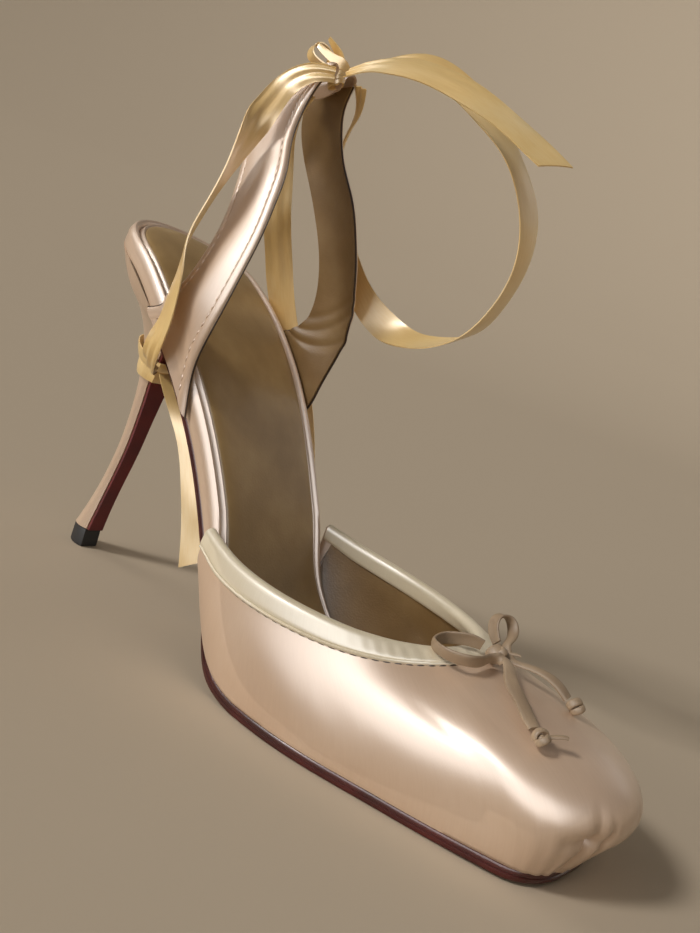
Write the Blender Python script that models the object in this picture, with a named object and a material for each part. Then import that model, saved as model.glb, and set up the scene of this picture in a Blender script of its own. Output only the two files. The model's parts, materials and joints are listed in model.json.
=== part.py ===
"""A right ballet-toe stiletto sandal with a ribbon ankle tie, as an assembly of closed solids.

Metres, +Z up, +X towards the toe, +Y towards the inner side of the foot.
The origin is the middle of the flat tread under the ball of the foot, on the floor.
Inside the functions lengths are in millimetres and `along` runs from the back of the heel
seat; place() turns them into metres from the origin.
"""
import math
from collections import namedtuple

import bmesh
import bpy
import numpy as np
from mathutils import Matrix, Vector

MM = 0.001

# ---- driving dimensions, mm ----
LENGTH = 195.2          # footbed, from the back of the seat to the toe, level with the floor
BALL_WIDTH = 62.4       # footbed across the joints
HEEL_HEIGHT = 101.7     # floor to the top of the heel at the back of the seat
INSTEP_HEIGHT = 35.6    # floor to the topline at the throat
SOLE = 3.0              # outsole under the forefoot
WAIST_SOLE = 2.2        # outsole under the arch
FOREPART_BOARD = 2.6    # footbed inside the vamp
RAND = 5.6              # footbed with its rolled satin edge at the waist and seat
SOCK = 1.0              # sock lining
UPPER = 1.6             # vamp wall, satin and lining
TAB = 1.8               # ankle tab, satin and leather
GAP = 0.3               # between touching pieces
TREAD_AT = 133.0        # the origin, along the footbed
BREAST_AT = 40.0        # top of the heel breast, along the footbed
TOP_PIECE = 6.0         # heel tip's rubber top piece
COVER = 0.9             # leather flap down the heel breast

STATIONS = 46           # along the footbed and the outsole
SPOKES = 48             # round the vamp, from one rear end to the other
VAMP_ROWS = 9           # up the vamp, from the feather edge to the topline


# ---- curves ----
def spline(xs, ys):
    """A natural cubic through the points, as a function that takes numbers or arrays."""
    xs, ys = np.array(xs, float), np.array(ys, float)
    h = np.diff(xs)
    n = len(xs)
    a, b = np.eye(n), np.zeros(n)
    for i in range(1, n - 1):
        a[i, i - 1:i + 2] = h[i - 1], 2 * (h[i - 1] + h[i]), h[i]
        b[i] = 6 * ((ys[i + 1] - ys[i]) / h[i] - (ys[i] - ys[i - 1]) / h[i - 1])
    m = np.linalg.solve(a, b)

    def at(x):
        x = np.clip(np.asarray(x, float), xs[0], xs[-1])
        i = np.clip(np.searchsorted(xs, x, side="right") - 1, 0, n - 2)
        left, right, step = xs[i + 1] - x, x - xs[i], h[i]
        return ((m[i] * left**3 + m[i + 1] * right**3) / (6 * step)
                + (ys[i] / step - m[i] * step / 6) * left
                + (ys[i + 1] / step - m[i + 1] * step / 6) * right)

    return at


def ease(start, end, x):
    """0 before start, 1 after end, smooth between."""
    t = np.clip((np.asarray(x, float) - start) / (end - start), 0, 1)
    return t * t * (3 - 2 * t)


def column(rows, name):
    return [getattr(row, name) for row in rows]


def unit(v):
    return v / np.maximum(np.linalg.norm(v, axis=-1, keepdims=True), 1e-9)


# ---- the last ----
# Each row is a section: its place as a share of LENGTH, the height of the outsole's top as
# a share of HEEL_HEIGHT, and the outer and inner half widths as shares of BALL_WIDTH.
Section = namedtuple("Section", "along rise outer inner")
LAST = (
    Section(0.000, 1.000, 0.360, 0.365),
    Section(0.046, 0.972, 0.385, 0.389),
    Section(0.118, 0.910, 0.405, 0.414),
    Section(0.195, 0.802, 0.418, 0.428),
    Section(0.272, 0.664, 0.399, 0.409),
    Section(0.350, 0.477, 0.372, 0.375),
    Section(0.427, 0.251, 0.377, 0.364),
    Section(0.499, 0.084, 0.431, 0.397),
    Section(0.571, 0.0315, 0.474, 0.468),
    Section(0.684, 0.0288, 0.478, 0.522),
    Section(0.787, 0.0290, 0.414, 0.487),
    Section(0.890, 0.0310, 0.342, 0.407),
    Section(1.000, 0.0370, 0.250, 0.285),
)
SEAT_ROUND = 20.0       # length of the seat's round back
TOE_ROUND = 8.5         # length of the toe's round end
TOE_SQUARE = 3.0        # 2 is an ellipse, more is squarer

_along = [share * LENGTH for share in column(LAST, "along")]
_rise = spline(_along, [share * HEEL_HEIGHT for share in column(LAST, "rise")])
_half = {-1: spline(_along, [share * BALL_WIDTH for share in column(LAST, "outer")]),
         1: spline(_along, [share * BALL_WIDTH for share in column(LAST, "inner")])}


def rise(along):
    """Height of the outsole's top on the centre line, flat over the tread."""
    return np.maximum(_rise(along), SOLE)


def half_width(side, along):
    """Half width of the footbed, rounded off at the seat and the toe."""
    back = np.clip(1 - along / SEAT_ROUND, 0, 1)
    toe = np.clip(1 - (LENGTH - along) / TOE_ROUND, 0, 1)
    return (_half[side](along) * np.sqrt(1 - back**2)
            * (1 - toe**TOE_SQUARE)**(1 / TOE_SQUARE))


def up_at(along):
    """The direction square to the outsole's top, as (x, z)."""
    slope = rise(along + 0.5) - rise(along - 0.5)
    length = np.sqrt(1 + slope**2)
    return -slope / length, 1 / length


def on_last(along, across, height):
    """A point `height` above the outsole's top, square to it."""
    x, z = up_at(along)
    return np.stack([along + height * x, across + 0 * along, rise(along) + height * z], -1)


def place(point):
    return Vector(((point[0] - TREAD_AT) * MM, point[1] * MM, point[2] * MM))


# ---- making solids ----
def finish_solid(name, bm, material):
    """Close up the faces' directions and add the solid to the scene under its name."""
    bmesh.ops.recalc_face_normals(bm, faces=bm.faces)
    bmesh.ops.triangulate(bm, faces=bm.faces)
    mesh = bpy.data.meshes.new(name)
    bm.to_mesh(mesh)
    bm.free()
    mesh.materials.append(material)
    mesh.shade_smooth()
    mesh.set_sharp_from_angle(angle=math.radians(40))
    solid = bpy.data.objects.new(name, mesh)
    bpy.context.scene.collection.objects.link(solid)
    return solid


def add_rings(bm, rings):
    """Vertices of closed rings, with faces between each ring and the next."""
    loops = [[bm.verts.new(place(point)) for point in ring] for ring in rings]
    for low, high in zip(loops, loops[1:]):
        for i in range(len(low)):
            j = (i + 1) % len(low)
            bm.faces.new((low[i], low[j], high[j], high[i]))
    return loops


def add_ladder(bm, loop):
    """Close a ring whose second half mirrors its first with rungs from side to side."""
    n = len(loop) // 2
    bm.faces.new((loop[0], loop[1], loop[-1]))
    for i in range(1, n - 1):
        bm.faces.new((loop[i], loop[i + 1], loop[-i - 1], loop[-i]))
    bm.faces.new((loop[n - 1], loop[n], loop[n + 1]))


def shell(name, outer, inner, material):
    """A wall between two grids of points that meet round all four sides."""
    bm = bmesh.new()
    rows, columns = outer.shape[:2]
    grids = [[[bm.verts.new(place(p)) for p in row] for row in grid] for grid in (outer, inner)]
    for grid in grids:
        for i in range(rows - 1):
            for j in range(columns - 1):
                bm.faces.new((grid[i][j], grid[i + 1][j], grid[i + 1][j + 1], grid[i][j + 1]))
    edge = ([(i, 0) for i in range(rows)] + [(rows - 1, j) for j in range(1, columns)]
            + [(i, columns - 1) for i in range(rows - 2, -1, -1)]
            + [(0, j) for j in range(columns - 2, 0, -1)])
    for (i, j), (k, m) in zip(edge, edge[1:] + edge[:1]):
        bm.faces.new((grids[0][i][j], grids[0][k][m], grids[1][k][m], grids[1][i][j]))
    return finish_solid(name, bm, material)


def normals_of(grid):
    """Unit normals of a grid of points, from its own slopes."""
    return unit(np.cross(np.gradient(grid, axis=0), np.gradient(grid, axis=1)))


def material(name, colour, roughness, metallic=0.0):
    made = bpy.data.materials.new(name)
    made.use_nodes = True
    shader = made.node_tree.nodes["Principled BSDF"]
    shader.inputs["Base Color"].default_value = (*colour, 1)
    shader.inputs["Roughness"].default_value = roughness
    shader.inputs["Metallic"].default_value = metallic
    return made


# ---- outlines along the last ----
def edge_line(side, alongs, grow):
    """The footbed's edge on one side, moved out by grow, as along, across and the outward
    direction seen from above."""
    across = side * half_width(side, alongs)
    out = unit(np.stack([-side * np.gradient(across), side * np.gradient(alongs)], -1))
    out[alongs <= 0] = (-1, 0)
    out[alongs >= LENGTH] = (1, 0)
    return np.stack([alongs, across], -1) + out * np.reshape(grow, (-1, 1)), out


def round_trip(start=0.0):
    """Places along one side, close together where the ends turn."""
    t = np.linspace(math.acos(1 - 2 * start / LENGTH) / math.pi, 1, STATIONS + 1)
    alongs = LENGTH * (1 - np.cos(math.pi * t)) / 2
    alongs[0], alongs[-1] = start, LENGTH
    return alongs


def slab(name, rings, material, start=0.0):
    """A layer that follows the last. Each ring is (grow, height), functions of along, from
    its underside to its top."""
    alongs = round_trip(start)
    loops = []
    for grow, height in rings:
        sides = []
        for side in (-1, 1):
            edge, _ = edge_line(side, alongs, grow(alongs))
            points = on_last(edge[:, 0], edge[:, 1], height(alongs))
            if start:
                middle = on_last(edge[:1, 0], np.zeros(1), height(alongs[:1]))
                points = np.concatenate([middle, points])
            sides.append(points)
        loops.append(list(sides[0]) + list(sides[1][-2:0:-1]))
    bm = bmesh.new()
    loops = add_rings(bm, loops)
    add_ladder(bm, loops[0])
    add_ladder(bm, loops[-1])
    return finish_solid(name, bm, material)


def steady(value):
    return lambda alongs: value + 0 * alongs


# ---- sole and footbed ----
VAMP_REAR = 82.5        # where the vamp's lower edge starts
VAMP_PROUD = 2.25       # the vamp's outside beyond the footbed's edge
SOLE_PROUD = 2.5        # the outsole's edge beyond it, under the vamp
SOLE_TUCK = -0.9        # and at the waist, where the edge is tucked under
TOE_TUCK = 1.5          # how far the sole's front stays behind the toe box
RAND_BULGE = 0.2        # the rolled edge beyond the footbed's outline
SOCK_INSET = 4.2        # from the footbed's edge to the sock lining, behind the vamp
SOCK_INSET_VAMP = 2.0   # and inside it


def blend(rear, front, start, length, a):
    """One value behind the vamp's rear end and another in front of it."""
    return rear + (front - rear) * ease(VAMP_REAR + start, VAMP_REAR + start + length, a)


def sole_grow(inset):
    return lambda a: (blend(SOLE_TUCK, SOLE_PROUD, 2, 22, a) - inset
                      - TOE_TUCK * ease(LENGTH - 9, LENGTH - 1, a))


def sole_depth(share):
    return lambda a: -share * blend(WAIST_SOLE, SOLE, 2, 20, a)


def board_height(share):
    """Up the footbed's side, whose rolled rand is thick behind the vamp."""
    return lambda a: GAP + share * blend(RAND, FOREPART_BOARD, -8, 14, a)


def sock_grow(inset):
    return lambda a: -blend(SOCK_INSET, SOCK_INSET_VAMP, -2, 12, a) - inset


def sock_height(up):
    return lambda a: board_height(1.0)(a) + GAP + up


def build_sole(finishes):
    slab("outsole", [(sole_grow(0.7), sole_depth(1.0)), (sole_grow(0.0), sole_depth(0.75)),
                     (sole_grow(0.0), sole_depth(0.15)), (sole_grow(0.3), sole_depth(0.0))],
         finishes["sole_leather"], start=BREAST_AT + 0.4)
    slab("footbed", [(steady(-0.9), board_height(0.0)), (steady(0.0), board_height(0.25)),
                     (steady(RAND_BULGE), board_height(0.55)),
                     (steady(-0.4), board_height(0.85)), (steady(-1.7), board_height(1.0))],
         finishes["satin"])
    slab("sock_lining", [(sock_grow(0.0), sock_height(0.0)), (sock_grow(0.3), sock_height(SOCK))],
         finishes["sock_leather"])


# ---- vamp ----
# The topline from its rear end to the throat, as shares of LENGTH, BALL_WIDTH and
# INSTEP_HEIGHT. The inner side stands INNER_LIFT higher.
Topline = namedtuple("Topline", "along across height")
TOPLINE = (
    Topline(0.426, 0.414, 1.017),
    Topline(0.488, 0.473, 0.961),
    Topline(0.550, 0.500, 0.933),
    Topline(0.632, 0.473, 0.921),
    Topline(0.702, 0.378, 0.927),
    Topline(0.748, 0.248, 0.949),
    Topline(0.774, 0.122, 0.978),
    Topline(0.782, 0.000, 1.000),
)
INNER_LIFT = 2.0
# How full the vamp is between its lower edge and its topline, as shares of the straight
# distance, at shares of the way from the rear end to the toe.
Fullness = namedtuple("Fullness", "share out_low up_low out_high down_high")
FULLNESS = (
    Fullness(0.00, 0.10, 0.33, 0.03, 0.33),
    Fullness(0.30, 0.10, 0.36, 0.05, 0.33),
    Fullness(0.55, 0.09, 0.38, 0.13, 0.30),
    Fullness(0.75, 0.13, 0.42, 0.33, 0.22),
    Fullness(0.90, 0.28, 0.45, 0.53, 0.11),
    Fullness(1.00, 0.42, 0.46, 0.62, 0.06),
)
RUN_DOWN = 3.0          # how far the roof's fall turns from the topline towards the toe


def even_steps(points, steps):
    """Points the same distance apart along a fine line."""
    run = np.concatenate([[0], np.cumsum(np.linalg.norm(np.diff(points, axis=0), axis=1))])
    at = np.linspace(0, run[-1], steps + 1)
    return np.stack([np.interp(at, run, points[:, k]) for k in range(points.shape[1])], -1)


def both_sides(half_line):
    """The outer half, then the inner half backwards, sharing the point in the middle."""
    outer, inner = half_line(-1), half_line(1)
    return np.concatenate([outer, inner[-2::-1]])


def feather_half(side):
    start = math.acos(1 - 2 * VAMP_REAR / LENGTH) / math.pi
    alongs = LENGTH * (1 - np.cos(math.pi * np.linspace(start, 1, 400))) / 2
    alongs[-1] = LENGTH
    edge, _ = edge_line(side, alongs, VAMP_PROUD)
    return even_steps(on_last(edge[:, 0], edge[:, 1], GAP), SPOKES // 2)


def topline_half(side):
    across = [share * BALL_WIDTH for share in column(TOPLINE, "across")]
    lift = INNER_LIFT * (side > 0)
    rows = np.stack([[share * LENGTH for share in column(TOPLINE, "along")],
                     [side * y for y in across],
                     [share * INSTEP_HEIGHT + lift * min(1, y / 12)
                      for share, y in zip(column(TOPLINE, "height"), across)]], -1)
    mirrored = rows[-2::-1] * (1, -1, 1)
    whole = np.concatenate([rows, mirrored])
    run = np.concatenate([[0], np.cumsum(np.linalg.norm(np.diff(whole, axis=0), axis=1))])
    fine = np.linspace(0, run[len(rows) - 1], 300)
    return even_steps(np.stack([spline(run, whole[:, k])(fine) for k in range(3)], -1),
                      SPOKES // 2)


def outward(line):
    """The direction away from the foot, seen from above, along a line round the vamp."""
    run = np.gradient(line, axis=0)
    return unit(np.stack([run[:, 1], -run[:, 0], 0 * run[:, 0]], -1))


def vamp_surface(rows=VAMP_ROWS):
    """The vamp's outside: a smooth curve up from each place on its lower edge."""
    low, high = both_sides(feather_half), both_sides(topline_half)
    out_low, out_high = outward(low), outward(high)
    share = 1 - np.abs(np.linspace(-1, 1, len(low)))
    chord = np.linalg.norm(high - low, axis=1, keepdims=True)
    full = {name: spline(column(FULLNESS, "share"), column(FULLNESS, name))(share)[:, None]
            for name in Fullness._fields[1:]}
    up = np.array([0, 0, 1.0])
    first = low + chord * (full["out_low"] * out_low + full["up_low"] * up)
    fall = unit(out_high + RUN_DOWN * (low - high) / chord * (1, 1, 0))
    second = high + chord * (full["out_high"] * fall - full["down_high"] * up)
    t = np.linspace(0, 1, rows + 1)[None, :, None]
    low, first, second, high = (line[:, None, :] for line in (low, first, second, high))
    return ((1 - t)**3 * low + 3 * (1 - t)**2 * t * first
            + 3 * (1 - t) * t**2 * second + t**3 * high), out_low


def facing(grid):
    """1 or -1, whichever turns a grid's normals away from the foot."""
    middle = grid.shape[0] // 2
    return 1.0 if normals_of(grid)[middle, 1, 0] > 0 else -1.0


def build_vamp(finishes):
    outside, out_low = vamp_surface()
    inside = outside - UPPER * normals_of(outside) * facing(outside)
    inside[:, 0] = outside[:, 0] - UPPER * out_low
    shell("vamp", outside, inside, finishes["satin"])


# ---- heel ----
# Slices from the tip up to the seat: where the back and the breast are, along and above
# the floor, the half width, and how much of the slice's shape is the seat's outline.
Slice = namedtuple("Slice", "back back_up breast breast_up half seat")
HEEL = (
    Slice(3.6, TOP_PIECE + GAP, 11.9, TOP_PIECE + GAP, 3.9, 0.0),
    Slice(6.8, 14.0, 13.2, 14.0, 3.5, 0.0),
    Slice(10.0, 24.0, 15.2, 24.0, 3.3, 0.0),
    Slice(12.5, 36.0, 17.6, 36.0, 3.5, 0.0),
    Slice(13.4, 46.0, 18.8, 46.0, 3.9, 0.0),
    Slice(13.5, 55.0, 19.7, 54.5, 4.6, 0.0),
    Slice(13.0, 63.0, 20.8, 61.0, 5.8, 0.02),
    Slice(11.7, 72.0, 24.3, 67.0, 8.6, 0.10),
    Slice(9.6, 81.0, 29.0, 72.0, 13.0, 0.35),
    Slice(6.6, 89.5, 33.8, 75.8, 18.5, 0.65),
    Slice(3.0, 96.3, 37.8, 78.4, 23.2, 0.90),
)
HEEL_ROUND = 24         # steps round a slice
BREAST_SHARE = 0.80     # the flat breast's width, as a share of the slice's
SEAT_SHARE = 0.985      # the heel's top, as a share of the seat's width
SEAT_INSET = 0.5        # and how far its back stays inside the seat's
TIP_FLARE = (0.96, 1.02, 1.0)       # the top piece's outline, from the floor up


def heel_ring(row):
    """A slice: a D with its flat side to the front, drawn towards the seat's outline."""
    q = np.linspace(0, 1, HEEL_ROUND + 1)
    back = np.sin(math.pi * q)
    along = row.breast - (row.breast - row.back) * back
    full = BREAST_SHARE + (1 - BREAST_SHARE) * np.sin(math.pi * np.clip(back, 0, 0.5))
    stiletto = -np.cos(math.pi * q) * full
    seat_along = BREAST_AT * (1 - back)
    seat = np.where(q < 0.5, -half_width(-1, seat_along), half_width(1, seat_along))
    across = row.half * ((1 - row.seat) * stiletto + row.seat * seat / np.abs(seat).max())
    height = row.breast_up + (row.back_up - row.breast_up) * back
    return np.stack([along, across, height], -1)


def seat_ring():
    q = np.linspace(0, 1, HEEL_ROUND + 1)
    along = BREAST_AT * (1 - np.sin(math.pi * q))
    across = np.where(q < 0.5, -half_width(-1, along), half_width(1, along))
    return on_last(along + SEAT_INSET * np.sin(math.pi * q), across * SEAT_SHARE, 0.0)


def close_ring(bm, loop):
    """Close a slice's ring with rungs between its two sides."""
    last = len(loop) - 1
    for i in range(last // 2):
        j = last - i
        if j - i > 2:
            bm.faces.new((loop[i], loop[i + 1], loop[j - 1], loop[j]))
        else:
            bm.faces.new((loop[i], loop[i + 1], loop[j]))


def build_heel(finishes):
    bm = bmesh.new()
    loops = add_rings(bm, [heel_ring(row) for row in HEEL] + [seat_ring()])
    close_ring(bm, loops[0])
    close_ring(bm, loops[-1])
    finish_solid("heel", bm, finishes["satin"])

    tip = heel_ring(HEEL[0])
    bm = bmesh.new()
    middle = tip.mean(axis=0) * (1, 0, 0)
    loops = add_rings(bm, [(tip - middle) * (share, share, 0) + middle + (0, 0, up)
                           for share, up in zip(TIP_FLARE, (0.0, 0.5, TOP_PIECE))])
    close_ring(bm, loops[0])
    close_ring(bm, loops[-1])
    finish_solid("top_piece", bm, finishes["rubber"])

    fronts = np.array([[row.breast, 0, row.breast_up] for row in HEEL])
    halves = np.array([row.half * BREAST_SHARE if not row.seat else
                       abs(heel_ring(row)[0, 1]) for row in HEEL])
    run = np.gradient(fronts, axis=0)
    out = unit(np.stack([run[:, 2], 0 * run[:, 0], -run[:, 0]], -1))
    across = np.linspace(-1, 1, 5)[None, :, None] * halves[:, None, None] * (0, 0.96, 0)
    inner = fronts[:, None] + GAP * out[:, None] + across
    shell("heel_breast_cover", inner + COVER * out[:, None], inner,
          finishes["sole_leather"])


# ---- ankle tabs ----
# Each tab is glued along the rand from back to front, and is shorter just above it.
TabRoot = namedtuple("TabRoot", "back front shortens")
TAB_ROOT = {-1: TabRoot(36.0, 60.0, 5.0), 1: TabRoot(34.0, 55.5, 1.0)}
# Rows from the rand to the tip: the back and front edges, along and above the floor, the
# distance from the middle, and how far the tab bows out between its edges.
TabRow = namedtuple("TabRow", "back back_up front front_up across bow")
TAB_ROWS = (
    TabRow(42.5, 89.5, 60.7, 78.5, 27.5, 0.6),
    TabRow(46.8, 94.0, 63.4, 90.0, 27.4, 0.9),
    TabRow(49.3, 102.5, 64.2, 101.0, 25.4, 1.1),
    TabRow(48.9, 113.0, 63.4, 113.0, 21.8, 1.2),
    TabRow(46.2, 122.5, 61.4, 123.0, 18.5, 1.2),
    TabRow(42.5, 131.5, 58.6, 132.0, 15.3, 1.1),
    TabRow(38.5, 140.0, 54.0, 140.5, 12.2, 1.0),
    TabRow(36.6, 147.8, 51.6, 148.8, 9.3, 0.7),
    TabRow(37.6, 153.6, 51.4, 155.4, 7.3, 0.4),
    TabRow(40.4, 158.4, 53.2, 161.6, 6.2, 0.2),
)
TAB_LOW = 1.2           # a tab's lower end above the outsole
TAB_SLACK = 0.2         # between a tab and the rand, beyond the gap
TAB_COLUMNS = 6
TAB_STEPS = 20


def tab_surface(side):
    """The middle of a tab's thickness, as a smooth grid from its root to its tip."""
    j = np.linspace(0, 1, TAB_COLUMNS + 1)
    root = TAB_ROOT[side]
    clear = RAND_BULGE + GAP + TAB / 2 + TAB_SLACK
    rows = []
    for back, front, out, height in ((root.back, root.front, 0.0, TAB_LOW),
                                     (root.back + 2, root.front - root.shortens,
                                      TAB_SLACK, RAND + 0.8)):
        at = back + (front - back) * j
        rows.append(on_last(at, side * (half_width(side, at) + clear + out), height))
    for row in TAB_ROWS:
        rows.append(np.stack([row.back + (row.front - row.back) * j,
                              side * (row.across + row.bow * np.sin(math.pi * j)),
                              row.back_up + (row.front_up - row.back_up) * j], -1))
    rows = np.array(rows)
    run = np.linspace(0, 1, len(rows))
    fine = np.linspace(0, 1, TAB_STEPS + 1)
    return np.stack([[spline(run, rows[:, k, c])(fine) for k in range(len(j))]
                     for c in range(3)], -1).swapaxes(0, 1)


def build_tabs(finishes):
    for name, side in (("ankle_tab_outer", -1), ("ankle_tab_inner", 1)):
        middle = tab_surface(side)
        half = TAB / 2 * normals_of(middle)
        shell(name, middle + half, middle - half, finishes["satin"])


# ---- ribbon and bow ----
# Each strip is flat, and its rows follow how it hangs: where its middle lies, along, across
# and up, how wide it is there, and the direction of its width.
Fold = namedtuple("Fold", "along across up width wide_x wide_y wide_z")
RIBBON = 0.8            # the ribbon's solids, thicker than the cloth
LACE = 1.2              # the bow's leather lace
FOLD_STEP = 4.0         # between a ribbon's cross-sections
LACE_STEP = 1.6         # and a lace's

RIBBON_KNOT = (51.4, -0.4, 162.4)
RIBBON_KNOT_RADII = (5.6, 4.3, 6.0)
RIBBONS = {
    "ribbon_loop": (
        Fold(56.8, 1.0, 165.2, 4.0, 0.1, 1.0, 0.3),
        Fold(64.0, 3.4, 168.8, 6.0, 0.0, 1.0, 0.4),
        Fold(73.0, 6.0, 171.2, 9.0, 0.0, 1.0, 0.35),
        Fold(85.0, 8.0, 168.8, 9.0, 0.1, 1.0, 0.3),
        Fold(98.0, 11.0, 161.7, 9.0, 0.1, 1.0, 0.25),
        Fold(109.6, 14.0, 151.6, 9.0, 0.1, 1.0, 0.15),
        Fold(116.2, 17.0, 140.5, 9.0, 0.0, 1.0, 0.1),
        Fold(117.3, 20.0, 127.9, 9.0, -0.1, 1.0, 0.0),
        Fold(113.6, 22.0, 116.0, 9.0, -0.2, 1.0, 0.1),
        Fold(107.2, 24.0, 107.2, 9.0, -0.2, 1.0, 0.2),
        Fold(96.5, 25.5, 101.6, 9.0, -0.1, 0.9, 0.4),
        Fold(83.5, 27.5, 99.5, 9.0, 0.1, 0.7, 0.7),
        Fold(71.5, 29.0, 102.0, 9.0, 0.4, 0.2, 0.9),
        Fold(61.0, 29.2, 108.0, 9.0, 0.8, 0.0, 0.5),
        Fold(52.0, 26.0, 119.5, 9.0, 1.0, 0.0, 0.3),
        Fold(47.0, 20.8, 134.0, 9.0, 1.0, 0.0, 0.2),
        Fold(48.0, 15.6, 147.5, 8.0, 1.0, 0.0, 0.1),
        Fold(52.8, 11.6, 155.4, 6.0, 1.0, 0.2, 0.0),
        Fold(56.2, 5.4, 161.8, 4.0, 0.6, 0.6, -0.4),
    ),
    "ribbon_short_end": (
        Fold(57.2, -2.6, 162.8, 3.6, -0.5, 0.6, 0.6),
        Fold(65.0, -4.4, 165.0, 6.0, -0.6, 0.65, 0.5),
        Fold(75.0, -5.2, 166.6, 9.0, -0.55, 0.7, 0.45),
        Fold(88.9, -5.8, 165.8, 9.0, -0.5, 0.75, 0.45),
        Fold(103.8, -6.2, 162.2, 9.0, -0.4, 0.8, 0.45),
        Fold(118.8, -6.6, 156.6, 9.0, -0.35, 0.85, 0.45),
        Fold(132.2, -7.0, 150.4, 9.0, -0.3, 0.85, 0.45),
    ),
    "ribbon_outer": (
        Fold(55.6, -5.4, 161.2, 4.0, 0.2, 0.3, 1.0),
        Fold(52.2, -9.8, 159.8, 5.0, 0.2, -0.2, 1.0),
        Fold(47.2, -13.0, 154.8, 8.0, 0.5, -0.5, 0.7),
        Fold(47.6, -17.8, 147.4, 9.0, 0.5, -0.6, 0.5),
        Fold(48.8, -22.0, 139.6, 9.0, 0.6, -0.8, 0.2),
        Fold(49.6, -26.5, 127.3, 9.0, 0.55, -0.8, 0.2),
        Fold(48.0, -30.0, 112.5, 9.0, 0.6, -0.75, 0.1),
        Fold(48.4, -32.0, 104.5, 9.0, 0.7, -0.65, 0.2),
        Fold(49.0, -31.8, 97.0, 9.0, 0.8, -0.5, 0.25),
        Fold(49.2, -31.8, 89.8, 9.0, 0.85, -0.42, 0.3),
        Fold(49.0, -31.8, 82.4, 9.0, 0.88, -0.38, 0.2),
        Fold(47.0, -31.2, 75.6, 8.5, 0.9, -0.1, -0.2),
        Fold(42.0, -26.2, 69.8, 8.0, 0.6, 0.4, -0.7),
        Fold(35.6, -18.4, 68.0, 8.0, 0.4, 0.4, -0.8),
        Fold(29.6, -11.4, 67.4, 8.0, 0.2, 0.2, -1.0),
    ),
    "ribbon_inner": (
        Fold(45.4, -1.8, 156.4, 4.0, 0.7, 0.5, -0.4),
        Fold(40.6, -0.8, 150.4, 5.5, 0.7, 0.5, 0.0),
        Fold(37.4, 1.8, 143.4, 6.5, 0.7, 0.5, 0.3),
        Fold(35.4, 5.6, 136.0, 8.0, 0.75, 0.6, 0.3),
        Fold(34.2, 11.0, 126.0, 8.5, 0.5, 0.6, -0.3),
        Fold(32.6, 16.0, 118.5, 8.5, 0.3, 0.6, -0.2),
        Fold(32.2, 21.0, 110.5, 8.5, 0.7, 0.6, 0.2),
        Fold(33.0, 26.6, 99.7, 9.0, 0.9, 0.4, 0.2),
        Fold(38.0, 31.4, 86.3, 9.0, 1.0, 0.2, 0.3),
        Fold(46.0, 32.8, 74.6, 9.0, 1.0, 0.1, 0.5),
        Fold(54.6, 32.0, 63.4, 9.0, 1.0, 0.0, 0.5),
        Fold(60.6, 31.0, 52.6, 9.0, 1.0, 0.0, 0.5),
        Fold(66.4, 30.0, 41.2, 9.0, 1.0, 0.0, 0.5),
    ),
    "ribbon_tail": (
        Fold(26.9, -2.4, 64.4, 9.0, 0.1, 1.0, 0.0),
        Fold(34.5, -2.4, 58.6, 9.0, 0.5, 0.8, 0.2),
        Fold(43.0, -1.6, 49.4, 9.0, 0.8, 0.5, 0.3),
        Fold(49.8, -0.8, 36.8, 9.0, 0.8, 0.5, 0.3),
        Fold(54.2, 0.0, 26.0, 9.0, 0.8, 0.5, 0.3),
        Fold(57.6, 0.8, 14.6, 9.0, 0.8, 0.5, 0.3),
    ),
}
WRAP_LOW, WRAP_HIGH = 62.4, 73.0    # the turn round the heel's neck, at its back
WRAP_ROWS = 4

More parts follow.
